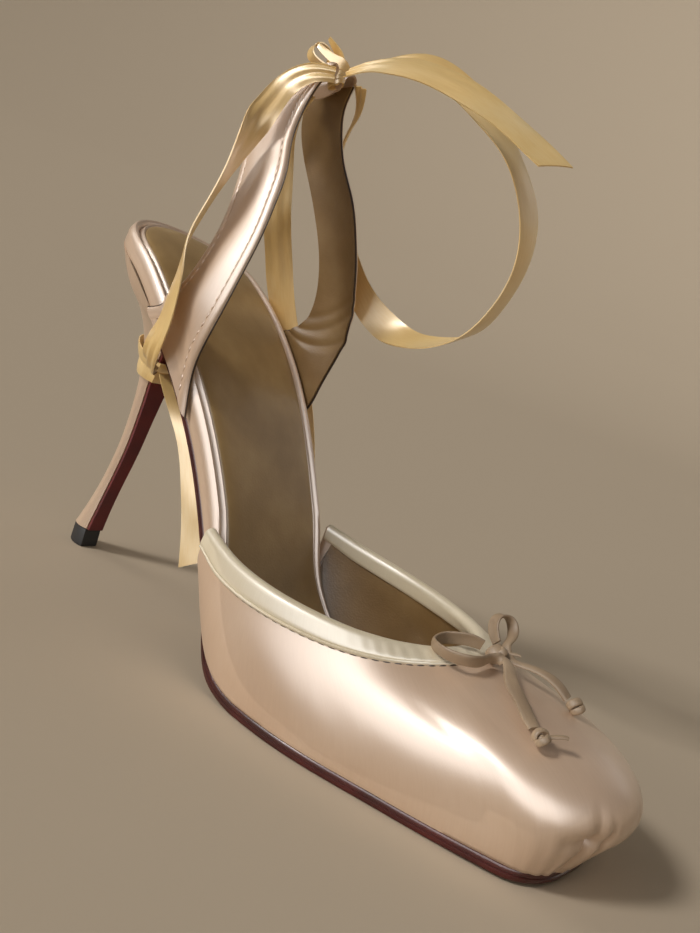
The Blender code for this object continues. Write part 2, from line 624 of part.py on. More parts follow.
BOW_KNOT = (160.2, -0.8, 37.9)
BOW_KNOT_RADII = (3.4, 2.8, 2.6)
LACES = {
    "bow_loop_outer": (
        Fold(157.0, -2.8, 38.9, 3.0, 0.1, -0.3, 1.0),
        Fold(154.6, -4.6, 39.1, 3.6, 0.1, -0.3, 1.0),
        Fold(151.8, -6.8, 38.5, 3.6, 0.1, -0.3, 1.0),
        Fold(149.4, -9.2, 37.5, 3.6, 0.1, -0.3, 1.0),
        Fold(149.2, -12.0, 36.5, 3.6, 0.1, -0.5, 1.0),
        Fold(151.6, -14.0, 36.3, 3.8, 0.1, -0.6, 0.9),
        Fold(156.2, -14.6, 36.5, 4.0, 0.1, -0.6, 0.9),
        Fold(160.0, -12.0, 36.9, 4.0, 0.2, -0.6, 0.9),
        Fold(161.0, -7.8, 37.1, 3.6, 0.2, -0.5, 0.9),
        Fold(161.4, -4.6, 37.7, 3.0, 0.2, -0.3, 1.0),
    ),
    "bow_loop_inner": (
        Fold(158.4, 1.4, 39.9, 2.6, 0.9, -0.2, 0.5),
        Fold(156.0, 2.2, 42.2, 3.2, 0.9, -0.2, 0.5),
        Fold(155.0, 3.8, 44.8, 3.4, 0.9, -0.3, 0.4),
        Fold(156.2, 6.4, 45.4, 3.4, 0.9, -0.3, 0.3),
        Fold(158.4, 7.0, 43.4, 3.4, 0.9, -0.2, 0.4),
        Fold(160.0, 4.6, 41.2, 3.0, 0.9, -0.2, 0.5),
        Fold(160.6, 2.2, 39.9, 2.6, 0.9, -0.1, 0.5),
    ),
    "bow_end_outer": (
        Fold(163.8, -2.8, 38.2, 3.2, 0.5, 0.8, 0.1),
        Fold(168.2, -6.2, 36.4, 3.4, 0.5, 0.8, 0.2),
        Fold(173.2, -9.6, 34.6, 3.4, 0.5, 0.8, 0.2),
        Fold(178.2, -12.8, 32.8, 3.4, 0.5, 0.8, 0.2),
        Fold(181.2, -14.6, 31.8, 3.0, 0.5, 0.8, 0.2),
    ),
    "bow_end_inner": (
        Fold(163.8, 1.0, 38.0, 2.8, 0.3, 0.9, 0.1),
        Fold(167.8, 2.0, 38.2, 3.2, 0.3, 0.9, 0.1),
        Fold(171.6, 3.0, 38.4, 3.2, 0.3, 0.9, 0.1),
        Fold(175.4, 4.2, 37.4, 3.2, 0.3, 0.9, 0.1),
        Fold(178.6, 5.2, 35.2, 2.8, 0.3, 0.9, 0.1),
    ),
}
END_KNOTS = {"bow_end_outer_knot": (183.8, -15.8, 31.2), "bow_end_inner_knot": (181.0, 5.8, 34.3)}
END_KNOT_RADIUS = 2.2


def strip(name, folds, thick, step, material):
    """A flat ribbon or lace, as one closed bar on a smooth curve through its rows."""
    rows = np.array(folds)
    run = np.concatenate([[0], np.cumsum(np.linalg.norm(np.diff(rows[:, :3], axis=0), axis=1))])
    fine = np.linspace(0, run[-1], int(run[-1] / step) + 2)
    rows = np.stack([spline(run, rows[:, k])(fine) for k in range(rows.shape[1])], -1)
    ahead = unit(np.gradient(rows[:, :3], axis=0))
    wide = rows[:, 4:] - (rows[:, 4:] * ahead).sum(axis=1, keepdims=True) * ahead
    wide = unit(wide) * rows[:, 3:4] / 2
    face = unit(np.cross(ahead, wide)) * thick / 2
    bm = bmesh.new()
    loops = add_rings(bm, [[middle - w - f, middle + w - f, middle + w + f, middle - w + f]
                           for middle, w, f in zip(rows[:, :3], wide, face)])
    bm.faces.new(loops[0])
    bm.faces.new(loops[-1])
    finish_solid(name, bm, material)


def knot(name, centre, radii, material):
    """A knot's plain solid."""
    bm = bmesh.new()
    bmesh.ops.create_uvsphere(bm, u_segments=12, v_segments=8, radius=1,
                              matrix=Matrix.Diagonal((*[r * MM for r in radii], 1)))
    bmesh.ops.translate(bm, verts=bm.verts, vec=place(centre))
    finish_solid(name, bm, material)


def wrap_ring(up, out):
    """A ring of the ribbon's turn round the heel's neck, out from the satin."""
    slices = [spline(column(HEEL, "back_up"), column(HEEL, name))(up) for name in Slice._fields]
    ring = heel_ring(Slice(*slices))
    run = np.gradient(ring, axis=0)
    sideways = unit(np.stack([-run[:, 1], run[:, 0], 0 * run[:, 0]], -1))
    ring = ring + (3 * GAP + out) * sideways
    ring[[0, -1], 0] += COVER + 4 * GAP + out
    return ring


def build_ribbon(finishes):
    for name, folds in RIBBONS.items():
        strip(name, folds, RIBBON, FOLD_STEP, finishes["ribbon"])
    knot("ribbon_knot", RIBBON_KNOT, RIBBON_KNOT_RADII, finishes["ribbon"])
    ups = np.linspace(WRAP_LOW, WRAP_HIGH, WRAP_ROWS + 1)
    rings = [wrap_ring(up, 0.0) for up in ups] + [wrap_ring(up, RIBBON) for up in ups[::-1]]
    bm = bmesh.new()
    add_rings(bm, rings + rings[:1])
    bmesh.ops.remove_doubles(bm, verts=bm.verts, dist=0.001 * MM)
    finish_solid("ribbon_heel_wrap", bm, finishes["ribbon"])


def build_bow(finishes):
    knot("bow_knot", BOW_KNOT, BOW_KNOT_RADII, finishes["bow"])
    for name, folds in LACES.items():
        strip(name, folds, LACE, LACE_STEP, finishes["bow"])
    for name, centre in END_KNOTS.items():
        knot(name, centre, [END_KNOT_RADIUS] * 3, finishes["bow"])


def build():
    for old in list(bpy.data.objects):
        bpy.data.objects.remove(old)
    finishes = {
        "satin": material("peach_satin", (0.78, 0.62, 0.47), 0.35),
        "sole_leather": material("oxblood_sole_leather", (0.09, 0.02, 0.012), 0.4),
        "sock_leather": material("taupe_sock_leather", (0.30, 0.22, 0.14), 0.55),
        "rubber": material("black_heel_rubber", (0.02, 0.02, 0.02), 0.7),
        "ribbon": material("golden_satin_ribbon", (0.62, 0.42, 0.16), 0.35),
        "bow": material("taupe_bow_leather", (0.28, 0.21, 0.16), 0.5),
    }
    build_sole(finishes)
    build_vamp(finishes)
    build_heel(finishes)
    build_tabs(finishes)
    build_ribbon(finishes)
    build_bow(finishes)


build()
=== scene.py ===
# %% [markdown]
# # A ballet-toe stiletto sandal in peach satin
# The shoe is built in the order a maker would put it together: sole, footbed, vamp, heel,
# ankle tabs, ribbon and bow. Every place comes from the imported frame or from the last, the
# foot-shaped form that the shoe is made on.
# %% Load the frame and keep its box
import json
import math
from collections import namedtuple

import bpy
import numpy as np
from mathutils import Matrix, Vector
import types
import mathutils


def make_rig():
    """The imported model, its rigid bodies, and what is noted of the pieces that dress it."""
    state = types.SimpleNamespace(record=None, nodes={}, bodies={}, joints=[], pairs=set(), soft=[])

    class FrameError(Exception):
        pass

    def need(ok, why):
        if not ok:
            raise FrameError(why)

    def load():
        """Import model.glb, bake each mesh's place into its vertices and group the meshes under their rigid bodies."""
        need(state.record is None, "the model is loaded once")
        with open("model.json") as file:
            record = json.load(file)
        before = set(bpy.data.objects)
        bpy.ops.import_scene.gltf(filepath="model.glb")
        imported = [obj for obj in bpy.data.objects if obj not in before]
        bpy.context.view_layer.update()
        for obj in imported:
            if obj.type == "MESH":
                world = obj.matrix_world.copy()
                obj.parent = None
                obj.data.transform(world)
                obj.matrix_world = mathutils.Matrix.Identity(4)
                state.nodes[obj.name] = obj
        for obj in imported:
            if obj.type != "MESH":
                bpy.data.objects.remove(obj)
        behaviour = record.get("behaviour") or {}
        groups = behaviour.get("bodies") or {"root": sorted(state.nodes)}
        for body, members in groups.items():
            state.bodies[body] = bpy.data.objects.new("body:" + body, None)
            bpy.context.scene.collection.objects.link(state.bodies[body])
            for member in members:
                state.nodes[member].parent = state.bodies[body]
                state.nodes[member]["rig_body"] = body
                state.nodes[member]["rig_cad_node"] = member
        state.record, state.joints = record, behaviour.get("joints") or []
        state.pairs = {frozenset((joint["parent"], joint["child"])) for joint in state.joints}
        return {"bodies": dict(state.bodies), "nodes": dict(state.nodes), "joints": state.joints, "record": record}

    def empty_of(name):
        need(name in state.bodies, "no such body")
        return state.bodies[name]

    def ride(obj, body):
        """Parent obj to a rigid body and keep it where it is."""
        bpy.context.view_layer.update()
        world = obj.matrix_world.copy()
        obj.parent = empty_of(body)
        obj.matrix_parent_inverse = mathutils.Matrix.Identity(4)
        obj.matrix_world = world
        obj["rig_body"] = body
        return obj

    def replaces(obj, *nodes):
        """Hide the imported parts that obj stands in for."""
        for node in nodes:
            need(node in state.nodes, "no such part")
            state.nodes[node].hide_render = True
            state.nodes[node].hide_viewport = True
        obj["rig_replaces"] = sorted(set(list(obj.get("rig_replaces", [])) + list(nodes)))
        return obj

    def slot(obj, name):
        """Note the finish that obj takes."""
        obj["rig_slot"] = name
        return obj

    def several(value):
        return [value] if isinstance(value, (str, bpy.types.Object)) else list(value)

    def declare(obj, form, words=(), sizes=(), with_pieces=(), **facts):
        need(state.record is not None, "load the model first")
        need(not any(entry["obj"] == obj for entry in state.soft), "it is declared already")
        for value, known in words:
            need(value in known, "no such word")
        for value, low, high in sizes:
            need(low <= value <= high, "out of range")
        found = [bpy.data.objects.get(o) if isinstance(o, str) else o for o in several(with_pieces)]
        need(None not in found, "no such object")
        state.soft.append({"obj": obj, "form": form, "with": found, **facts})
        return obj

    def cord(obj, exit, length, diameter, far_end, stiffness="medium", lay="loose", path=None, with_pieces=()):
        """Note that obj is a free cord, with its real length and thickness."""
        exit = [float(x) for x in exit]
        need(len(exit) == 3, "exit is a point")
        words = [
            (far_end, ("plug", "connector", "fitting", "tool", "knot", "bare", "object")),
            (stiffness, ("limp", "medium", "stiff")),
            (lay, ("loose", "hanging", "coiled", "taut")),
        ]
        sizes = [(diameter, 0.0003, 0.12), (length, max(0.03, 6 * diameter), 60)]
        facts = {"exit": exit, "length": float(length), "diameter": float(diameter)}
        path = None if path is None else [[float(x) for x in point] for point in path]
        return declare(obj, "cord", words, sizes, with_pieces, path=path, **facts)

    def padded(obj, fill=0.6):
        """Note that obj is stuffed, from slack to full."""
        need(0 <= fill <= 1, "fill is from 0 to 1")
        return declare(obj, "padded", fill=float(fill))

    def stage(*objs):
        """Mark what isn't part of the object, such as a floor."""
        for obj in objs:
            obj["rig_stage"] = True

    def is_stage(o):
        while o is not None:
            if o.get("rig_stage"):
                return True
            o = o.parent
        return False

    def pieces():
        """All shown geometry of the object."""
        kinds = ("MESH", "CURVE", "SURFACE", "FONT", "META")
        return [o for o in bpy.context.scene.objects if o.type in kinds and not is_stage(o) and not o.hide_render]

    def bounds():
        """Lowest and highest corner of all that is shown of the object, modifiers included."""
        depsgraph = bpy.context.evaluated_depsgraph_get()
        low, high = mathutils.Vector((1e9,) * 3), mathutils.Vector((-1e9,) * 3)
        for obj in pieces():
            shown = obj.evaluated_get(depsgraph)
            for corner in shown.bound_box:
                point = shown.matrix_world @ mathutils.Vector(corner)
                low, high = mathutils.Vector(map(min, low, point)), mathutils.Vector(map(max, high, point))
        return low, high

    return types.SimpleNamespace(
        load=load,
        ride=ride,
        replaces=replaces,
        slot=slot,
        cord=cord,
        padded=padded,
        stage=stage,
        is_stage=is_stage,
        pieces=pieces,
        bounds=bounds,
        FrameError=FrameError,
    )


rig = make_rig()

MM = 0.001
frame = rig.load()
nodes = frame["nodes"]
cad_box = [list(corner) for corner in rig.bounds()]
print("CAD nodes:", len(nodes))


# %% [markdown]
# ## The camera
# The shoe is seen from its outer side and from the front, a little above the floor, with the
# camera rolled so that the toe points down to the right. A camera could be aimed at an empty,
# but a constraint can't roll it, so it is turned by a matrix of three directions: to its
# right, up, and back towards the eye.
# %% Place the camera
AZIMUTH, ELEVATION, ROLL = (math.radians(angle) for angle in (35.03, 9.65, 19.57))
CAMERA_AT = Vector((0.1241, -0.2232, 0.1096))
SENSOR = 36.0
LENS = 39.42


def camera_axes():
    """The camera's right, up and back as unit vectors."""
    back = Vector((math.sin(AZIMUTH) * math.cos(ELEVATION),
                   -math.cos(AZIMUTH) * math.cos(ELEVATION), math.sin(ELEVATION)))
    level = Vector((math.cos(AZIMUTH), math.sin(AZIMUTH), 0))
    upright = back.cross(level)
    right = math.cos(ROLL) * level + math.sin(ROLL) * upright
    return right, back.cross(right), back


right, up, back = camera_axes()
bpy.ops.object.camera_add(location=CAMERA_AT,
                          rotation=Matrix((right, up, back)).transposed().to_euler())
camera = bpy.context.object
camera.data.lens = LENS
camera.data.sensor_width = SENSOR
camera.data.clip_start = 0.01
bpy.context.scene.camera = camera
print("camera: %.0f mm from the frame's origin, lens %.1f mm" % (CAMERA_AT.length / MM, LENS))


# %% [markdown]
# ## The last
# A last is the foot-shaped form that a shoe is built round, and everything that touches the
# foot follows it. It could be sculpted; here its sections are shares of three sizes, so that
# the sole, the footbed, the vamp and the tabs all meet along the same curves. A natural cubic
# runs through the sections, and on_last() puts a point at a height above the sole. Lengths
# are in millimetres and `along` runs from the back of the seat; placed() turns them into
# metres from the frame's origin.
# %% Curves
def spline(xs, ys):
    """A natural cubic through the points, as a function that takes arrays."""
    xs, ys = np.array(xs, float), np.array(ys, float)
    h = np.diff(xs)
    n = len(xs)
    a, b = np.eye(n), np.zeros(n)
    for i in range(1, n - 1):
        a[i, i - 1:i + 2] = h[i - 1], 2 * (h[i - 1] + h[i]), h[i]
        b[i] = 6 * ((ys[i + 1] - ys[i]) / h[i] - (ys[i] - ys[i - 1]) / h[i - 1])
    m = np.linalg.solve(a, b)

    def at(x):
        x = np.clip(np.asarray(x, float), xs[0], xs[-1])
        i = np.clip(np.searchsorted(xs, x, side="right") - 1, 0, n - 2)
        left, right, step = xs[i + 1] - x, x - xs[i], h[i]
        return ((m[i] * left**3 + m[i + 1] * right**3) / (6 * step)
                + (ys[i] / step - m[i] * step / 6) * left
                + (ys[i + 1] / step - m[i + 1] * step / 6) * right)

    return at


def ease(start, end, x):
    """0 before start, 1 after end, smooth between."""
    t = np.clip((np.asarray(x, float) - start) / (end - start), 0, 1)
    return t * t * (3 - 2 * t)


def unit(v):
    """Vectors made one unit long."""
    return v / np.maximum(np.linalg.norm(v, axis=-1, keepdims=True), 1e-9)


def column(rows, name):
    """One named value from each row of a table."""
    return [getattr(row, name) for row in rows]


def run_of(points):
    """The distance along a line of points, from its first."""
    return np.concatenate([[0], np.cumsum(np.linalg.norm(np.diff(points, axis=0), axis=1))])


def smooth_line(points, step):
    """A smooth line through a few points (or rows of numbers that start with a point)."""
    rows = np.array(points, float)
    run = run_of(rows[:, :3])
    fine = np.linspace(0, run[-1], int(run[-1] / step) + 2)
    return np.stack([spline(run, rows[:, k])(fine) for k in range(rows.shape[1])], -1)


def even_steps(points, steps):
    """Points the same distance apart along a fine line."""
    run = run_of(points)
    at = np.linspace(0, run[-1], steps + 1)
    return np.stack([np.interp(at, run, points[:, k]) for k in range(points.shape[1])], -1)


# %% The last's sections
LENGTH = 195.2          # footbed, from the back of the seat to the toe, level with the floor
BALL_WIDTH = 62.4
HEEL_HEIGHT = 101.7     # floor to the top of the heel at the back of the seat
INSTEP_HEIGHT = 35.6    # floor to the topline over the instep
TREAD_AT = 133.0        # the frame's origin, along the footbed
SOLE = 3.0
SEAT_ROUND = 20.0       # length of the seat's round back
TOE_ROUND = 8.5         # and of the toe's corners
TOE_SQUARE = 3.0        # how square those corners are; 2 is an ellipse
GAP = 0.3               # between touching pieces

Section = namedtuple("Section", "along rise outer inner")
LAST = (
    Section(0.000, 1.000, 0.360, 0.365),
    Section(0.046, 0.972, 0.385, 0.389),
    Section(0.118, 0.910, 0.405, 0.414),
    Section(0.195, 0.802, 0.418, 0.428),
    Section(0.272, 0.664, 0.399, 0.409),
    Section(0.350, 0.477, 0.372, 0.375),
    Section(0.427, 0.251, 0.377, 0.364),
    Section(0.499, 0.084, 0.431, 0.397),
    Section(0.571, 0.0315, 0.474, 0.468),
    Section(0.684, 0.0288, 0.478, 0.522),
    Section(0.787, 0.0290, 0.414, 0.487),
    Section(0.890, 0.0310, 0.342, 0.407),
    Section(1.000, 0.0370, 0.250, 0.285),
)
_along = [share * LENGTH for share in column(LAST, "along")]
_rise = spline(_along, [share * HEEL_HEIGHT for share in column(LAST, "rise")])
_half = {-1: spline(_along, [share * BALL_WIDTH for share in column(LAST, "outer")]),
         1: spline(_along, [share * BALL_WIDTH for share in column(LAST, "inner")])}


def rise(along):
    """Height of the outsole's top on the centre line."""
    return np.maximum(_rise(along), SOLE)


def half_width(side, along):
    """Half width of the footbed, rounded off at the seat and the toe."""
    back = np.clip(1 - along / SEAT_ROUND, 0, 1)
    toe = np.clip(1 - (LENGTH - along) / TOE_ROUND, 0, 1)
    return (_half[side](along) * np.sqrt(1 - back**2)
            * (1 - toe**TOE_SQUARE)**(1 / TOE_SQUARE))


def on_last(along, across, height):
    """A point `height` above the outsole's top, square to it."""
    slope = rise(along + 0.5) - rise(along - 0.5)
    length = np.sqrt(1 + slope**2)
    return np.stack([along - height * slope / length, across + 0 * along,
                     rise(along) + height / length], -1)


def placed(points):
    """Millimetres along, across and up, as metres in the frame."""
    return (np.asarray(points, float) - (TREAD_AT, 0, 0)) * MM


def edge_line(side, alongs, grow):
    """The footbed's edge on one side, moved out by grow."""
    across = side * half_width(side, alongs)
    out = unit(np.stack([-side * np.gradient(across), side * np.gradient(alongs)], -1))
    out[alongs <= 0] = (-1, 0)
    out[alongs >= LENGTH] = (1, 0)
    return np.stack([alongs, across], -1) + out * np.reshape(grow, (-1, 1))


def round_trip(stations, start=0.0):
    """Places along one side, close together where the ends turn."""
    t = np.linspace(math.acos(1 - 2 * start / LENGTH) / math.pi, 1, stations + 1)
    alongs = LENGTH * (1 - np.cos(math.pi * t)) / 2
    alongs[0], alongs[-1] = start, LENGTH
    return alongs


print("last: %.0f mm long, %.0f mm wide at the ball" % (LENGTH, BALL_WIDTH))


# %% [markdown]
# ## Making meshes from grids
# A shoe is mostly sheets: satin, lining and leather that follow the last. They could be
# pushed into shape by hand with extrude and sculpt tools, but then they wouldn't meet along
# the last's curves and a weave would stretch on them. So each starts as a grid primitive whose
# vertices are set on the surface, and its own UV map holds the real distances on the cloth,
# which is what a weave needs. Solidify then gives the sheet its thickness. Tubes and straps
# are grids rolled into a ring, merged at the seam and capped.
# %% Selection and modifiers
def only(obj):
    """Leave nothing selected but obj, and make it active."""
    bpy.ops.object.select_all(action="DESELECT")
    obj.select_set(True)
    bpy.context.view_layer.objects.active = obj


def add_modifier(obj, kind, **settings):
    """Add a modifier and apply it."""
    only(obj)
    made = obj.modifiers.new(kind.title(), kind)
    for name, value in settings.items():
        setattr(made, name, value)
    bpy.ops.object.modifier_apply(modifier=made.name)


def dress(obj, material, slot, *replaced):
    """Give a finished piece its material, its ride and the CAD nodes it stands for."""
    obj.data.materials.clear()
    obj.data.materials.append(material)
    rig.ride(obj, "root")
    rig.slot(obj, slot)
    if replaced:
        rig.replaces(obj, *replaced)
    return obj


def triangles(obj):
    """How many triangles a piece's faces make."""
    return sum(len(face.vertices) - 2 for face in obj.data.polygons)


# %% Grids, sheets and tubes
def grid_piece(name, points):
    """A grid primitive set on points[row, column], with a UV map in real metres."""
    rows, columns = points.shape[:2]
    bpy.ops.object.select_all(action="DESELECT")
    bpy.ops.mesh.primitive_grid_add(x_subdivisions=columns - 1, y_subdivisions=rows - 1)
    obj = bpy.context.object
    obj.name = obj.data.name = name
    obj.data.vertices.foreach_set("co", placed(points).astype(np.float32).ravel())
    across = np.linalg.norm(np.diff(points, axis=1), axis=2).mean(axis=0)
    along = np.linalg.norm(np.diff(points, axis=0), axis=2).mean(axis=1)
    u = np.concatenate([[0], across.cumsum()]) * MM
    v = np.concatenate([[0], along.cumsum()]) * MM
    at = np.zeros(len(obj.data.loops), int)
    obj.data.loops.foreach_get("vertex_index", at)
    cloth = np.stack([u[at % columns], v[at // columns]], -1)
    obj.data.uv_layers[0].data.foreach_set("uv", cloth.astype(np.float32).ravel())
    obj.data.update()
    return obj


def close_up(obj, ends=True):
    """Merge seams, cap open ends and turn the faces outwards."""
    only(obj)
    bpy.ops.object.mode_set(mode="EDIT")
    bpy.ops.mesh.select_all(action="SELECT")
    bpy.ops.mesh.remove_doubles(threshold=1e-6)
    if ends:
        bpy.ops.mesh.select_all(action="SELECT")
        bpy.ops.mesh.fill_holes(sides=0)
    bpy.ops.mesh.select_all(action="SELECT")
    bpy.ops.mesh.normals_make_consistent(inside=False)
    bpy.ops.object.mode_set(mode="OBJECT")


def smooth(obj, angle=40.0):
    """Smooth shading with the edges sharper than angle kept."""
    only(obj)
    bpy.ops.object.shade_smooth_by_angle(angle=math.radians(angle))


def sheet(name, points, thickness, offset=0.0, angle=40.0):
    """A closed sheet of cloth or leather on a grid of points; offset 1 is outside them."""
    obj = grid_piece(name, points)
    add_modifier(obj, "SOLIDIFY", thickness=thickness * MM, offset=offset)
    smooth(obj, angle)
    return obj


def tube(name, rings, ends=True, angle=40.0):
    """A closed form on rings[row, column], each ring a closed outline."""
    obj = grid_piece(name, np.concatenate([rings, rings[:, :1]], axis=1))
    close_up(obj, ends)
    smooth(obj, angle)
    return obj


def join(name, pieces):
    """One object from several, each already closed."""
    only(pieces[0])
    for piece in pieces[1:]:
        piece.select_set(True)
    bpy.ops.object.join()
    pieces[0].name = pieces[0].data.name = name
    return pieces[0]


def normals_of(grid):
    """Unit normals of a grid of points, from its own slopes."""
    return unit(np.cross(np.gradient(grid, axis=0), np.gradient(grid, axis=1)))


def frames_along(line, wide):
    """The direction ahead, across and out of a strip's face at each point of its line."""
    ahead = unit(np.gradient(line, axis=0))
    across = unit(wide - (wide * ahead).sum(axis=1, keepdims=True) * ahead)
    return ahead, across, np.cross(ahead, across)


# %% [markdown]
# ## Nodes and colours
# A dyer matches cloth by eye, and sRGB hex values are spaced about as the eye sees, so
# colours are written so and turned to linear light for the shader. Each material could be
# wired by hand in the shader editor. One small function that adds any node, with its
# settings, its links and a ramp's stops, does the same and can be read from top to bottom.
# %% Node helpers
def linear(hex_colour):
    """An sRGB hex value as linear red, green, blue and alpha."""
    parts = [int(hex_colour[i:i + 2], 16) / 255 for i in (1, 3, 5)]
    return (*[p / 12.92 if p <= 0.04045 else ((p + 0.055) / 1.055)**2.4 for p in parts], 1)


def add(tree, kind, inputs=None, stops=(), **settings):
    """Add a node; inputs are values or output sockets by name or number, and stops are the
    places and hex colours of a ramp."""
    made = tree.nodes.new(kind)
    for name, value in settings.items():
        setattr(made, name, value)
    while stops and len(made.color_ramp.elements) < len(stops):
        made.color_ramp.elements.new(0.5)
    for k, (place, colour) in enumerate(stops):
        made.color_ramp.elements[k].position = place
        made.color_ramp.elements[k].color = linear(colour)
    for name, value in (inputs or {}).items():
        if isinstance(value, bpy.types.NodeSocket):
            tree.links.new(value, made.inputs[name])
        else:
            made.inputs[name].default_value = value
    return made


def new_material(name, **inputs):
    """A Principled material with constant values; returns material, tree and shader."""
    made = bpy.data.materials.new(name)
    made.use_nodes = True
    shader = made.node_tree.nodes["Principled BSDF"]
    for key, value in inputs.items():
        shader.inputs[key.replace("_", " ")].default_value = value
    return made, made.node_tree, shader


def per(size_mm):
    """A texture scale that makes one cell this many millimetres on metre coordinates."""
    return 1 / (size_mm * MM)


def bands(period_mm):
    """The Wave texture's scale for one band per period; it turns 20 radians per unit."""
    return 2 * math.pi / 20 / (period_mm * MM)


# %% [markdown]
# ### Satin
# Satin floats its warp threads over several wefts, so most of its face is long, parallel,
# nearly unbroken silk: a broad soft highlight that stretches across the threads. Real threads
# could be modelled, but at this distance they only colour the gleam, so the shader gives it
# with anisotropy, sheen and a soft coat. The warp is about 0.12 mm, too fine to show here, so
# it is drawn three times as coarse, with faint longer slubs and a slow drift of colour.
# %% Satin materials
WARP = 0.12             # between warp threads
WARP_COARSE = 3         # how much coarser they are drawn
SLUB_WIDE, SLUB_LONG = 0.5, 6.0
DYE_DRIFT = 34.0        # how slowly the colour drifts
CLOTH_RIPPLE = 11.0     # and how far apart the cloth's faint ripples are


def satin(name, deep, base, light, roughness=0.4, metallic=0.08, ripple=0.08):
    """Woven satin on a piece's own UV map; ripple is how high its faint ripples are."""
    made, tree, shader = new_material(
        name, Roughness=roughness, Metallic=metallic, IOR=1.54, Anisotropic=0.4,
        Specular_IOR_Level=1.0, Sheen_Weight=0.12, Sheen_Roughness=0.4,
        Sheen_Tint=linear(light), Coat_Weight=0.8, Coat_Roughness=0.34, Coat_IOR=1.7)
    place = add(tree, "ShaderNodeTexCoord")
    drift = add(tree, "ShaderNodeTexNoise", {"Vector": place.outputs["Object"],
                                             "Scale": per(DYE_DRIFT), "Detail": 2.0})
    along_warp = add(tree, "ShaderNodeVectorMath",
                     {0: place.outputs["UV"], 1: (per(SLUB_WIDE), per(SLUB_LONG), 1.0)},
                     operation="MULTIPLY")
    slub = add(tree, "ShaderNodeTexNoise", {"Vector": along_warp.outputs[0],
                                            "Scale": 1.0, "Detail": 3.0})
    share = add(tree, "ShaderNodeMath", {0: slub.outputs[0], 1: 0.25}, operation="MULTIPLY")
    mixed = add(tree, "ShaderNodeMath", {0: drift.outputs[0], 1: 0.75, 2: share.outputs[0]},
                operation="MULTIPLY_ADD")
    dye = add(tree, "ShaderNodeValToRGB", {0: mixed.outputs[0]},
              stops=((0.3, deep), (0.5, base), (0.72, light)))
    tree.links.new(dye.outputs[0], shader.inputs["Base Color"])
    warp = add(tree, "ShaderNodeTexWave", {"Vector": place.outputs["UV"],
                                           "Scale": bands(WARP * WARP_COARSE),
                                           "Distortion": 0.6,
                                           "Detail": 1.0}, bands_direction="X")
    fine = add(tree, "ShaderNodeBump", {"Height": warp.outputs[1], "Strength": 0.10,
                                        "Distance": 0.03 * MM})
    slow = add(tree, "ShaderNodeTexNoise", {"Vector": place.outputs["Object"],
                                            "Scale": per(CLOTH_RIPPLE), "Detail": 1.5})
    rippled = add(tree, "ShaderNodeBump", {"Height": slow.outputs[0], "Strength": 0.5,
                                           "Distance": ripple * MM,
                                           "Normal": fine.outputs[0]})
    tree.links.new(rippled.outputs[0], shader.inputs["Normal"])
    return made


# Peach silk satin for the upper; matt cream satin cut on the bias for the binding; golden
# double-faced satin for the ribbon, a little brighter and flatter.
peach_satin = satin("peach_silk_satin", "#c2a58b", "#cbaf95", "#d3baa2")
cream_satin = satin("cream_satin_binding", "#d5c8aa", "#ddd2b7", "#e6dcc6", roughness=0.5,
                    metallic=0.0, ripple=0.12)
ribbon_satin = satin("golden_satin_ribbon", "#dfb76b", "#ebc982", "#f6dfac",
                     roughness=0.4, metallic=0.1, ripple=0.05)
print("satins: warp drawn %.2f mm apart" % (WARP * WARP_COARSE))


# %% [markdown]
# ### Leather
# Vegetable-tanned and lining leathers show a fine pebbled grain, about 0.6 mm across, with
# slow changes of tone where the hide took more or less dye. A scanned texture would do; here
# Voronoi cells give the grain and noise gives the tone, so that both keep their real size on
# every piece. The same two patterns serve for brushed edge paint and, finer, for rubber.
# %% Leather, paint and rubber
TONE_DRIFT = 14.0       # how slowly a hide's tone changes


def leather(name, dark, base, light, roughness, grain_mm=0.6, grain=0.06, coat=0.0):
    """Grained leather on Object coordinates; grain is how deep its pebbles are."""
    made, tree, shader = new_material(name, Roughness=roughness, IOR=1.5,
                                      Coat_Weight=coat, Coat_Roughness=0.2)
    place = add(tree, "ShaderNodeTexCoord")
    tone = add(tree, "ShaderNodeTexNoise", {"Vector": place.outputs["Object"],
                                            "Scale": per(TONE_DRIFT), "Detail": 5.0})
    dye = add(tree, "ShaderNodeValToRGB", {0: tone.outputs[0]},
              stops=((0.3, dark), (0.5, base), (0.7, light)))
    tree.links.new(dye.outputs[0], shader.inputs["Base Color"])
    cells = add(tree, "ShaderNodeTexVoronoi", {"Vector": place.outputs["Object"],
                                               "Scale": per(grain_mm)})
    bump = add(tree, "ShaderNodeBump", {"Height": cells.outputs[0], "Strength": 0.5,
                                        "Distance": grain * MM})
    tree.links.new(bump.outputs[0], shader.inputs["Normal"])
    return made


# Sole leather is dyed, waxed and burnished: semi-gloss. The same leather on the heel's breast
# is thinner and not burnished, and is drawn redder and brighter than the sole's: the red is as
# seen, and part of the brightness is painted light, a lift against the shade the breast falls in.
sole_leather = leather("oxblood_sole_leather", "#330b07", "#430e0a", "#541510", 0.32,
                       coat=0.3)
breast_leather_brightened = leather("oxblood_breast_leather", "#55090a", "#650d0c", "#74130f", 0.6)
# Sock and lining are glazed kid, with a faint shine; the lace is matt.
sock_leather = leather("taupe_sock_leather", "#a08352", "#ab8d5c", "#b69968", 0.42, coat=0.15)
lining_leather = leather("brown_lining_leather", "#7a5f38", "#846840", "#90754c", 0.4, coat=0.2)
bow_leather = leather("taupe_bow_leather", "#8d7860", "#a18b71", "#b09a80", 0.52,
                      grain_mm=0.45, grain=0.05)
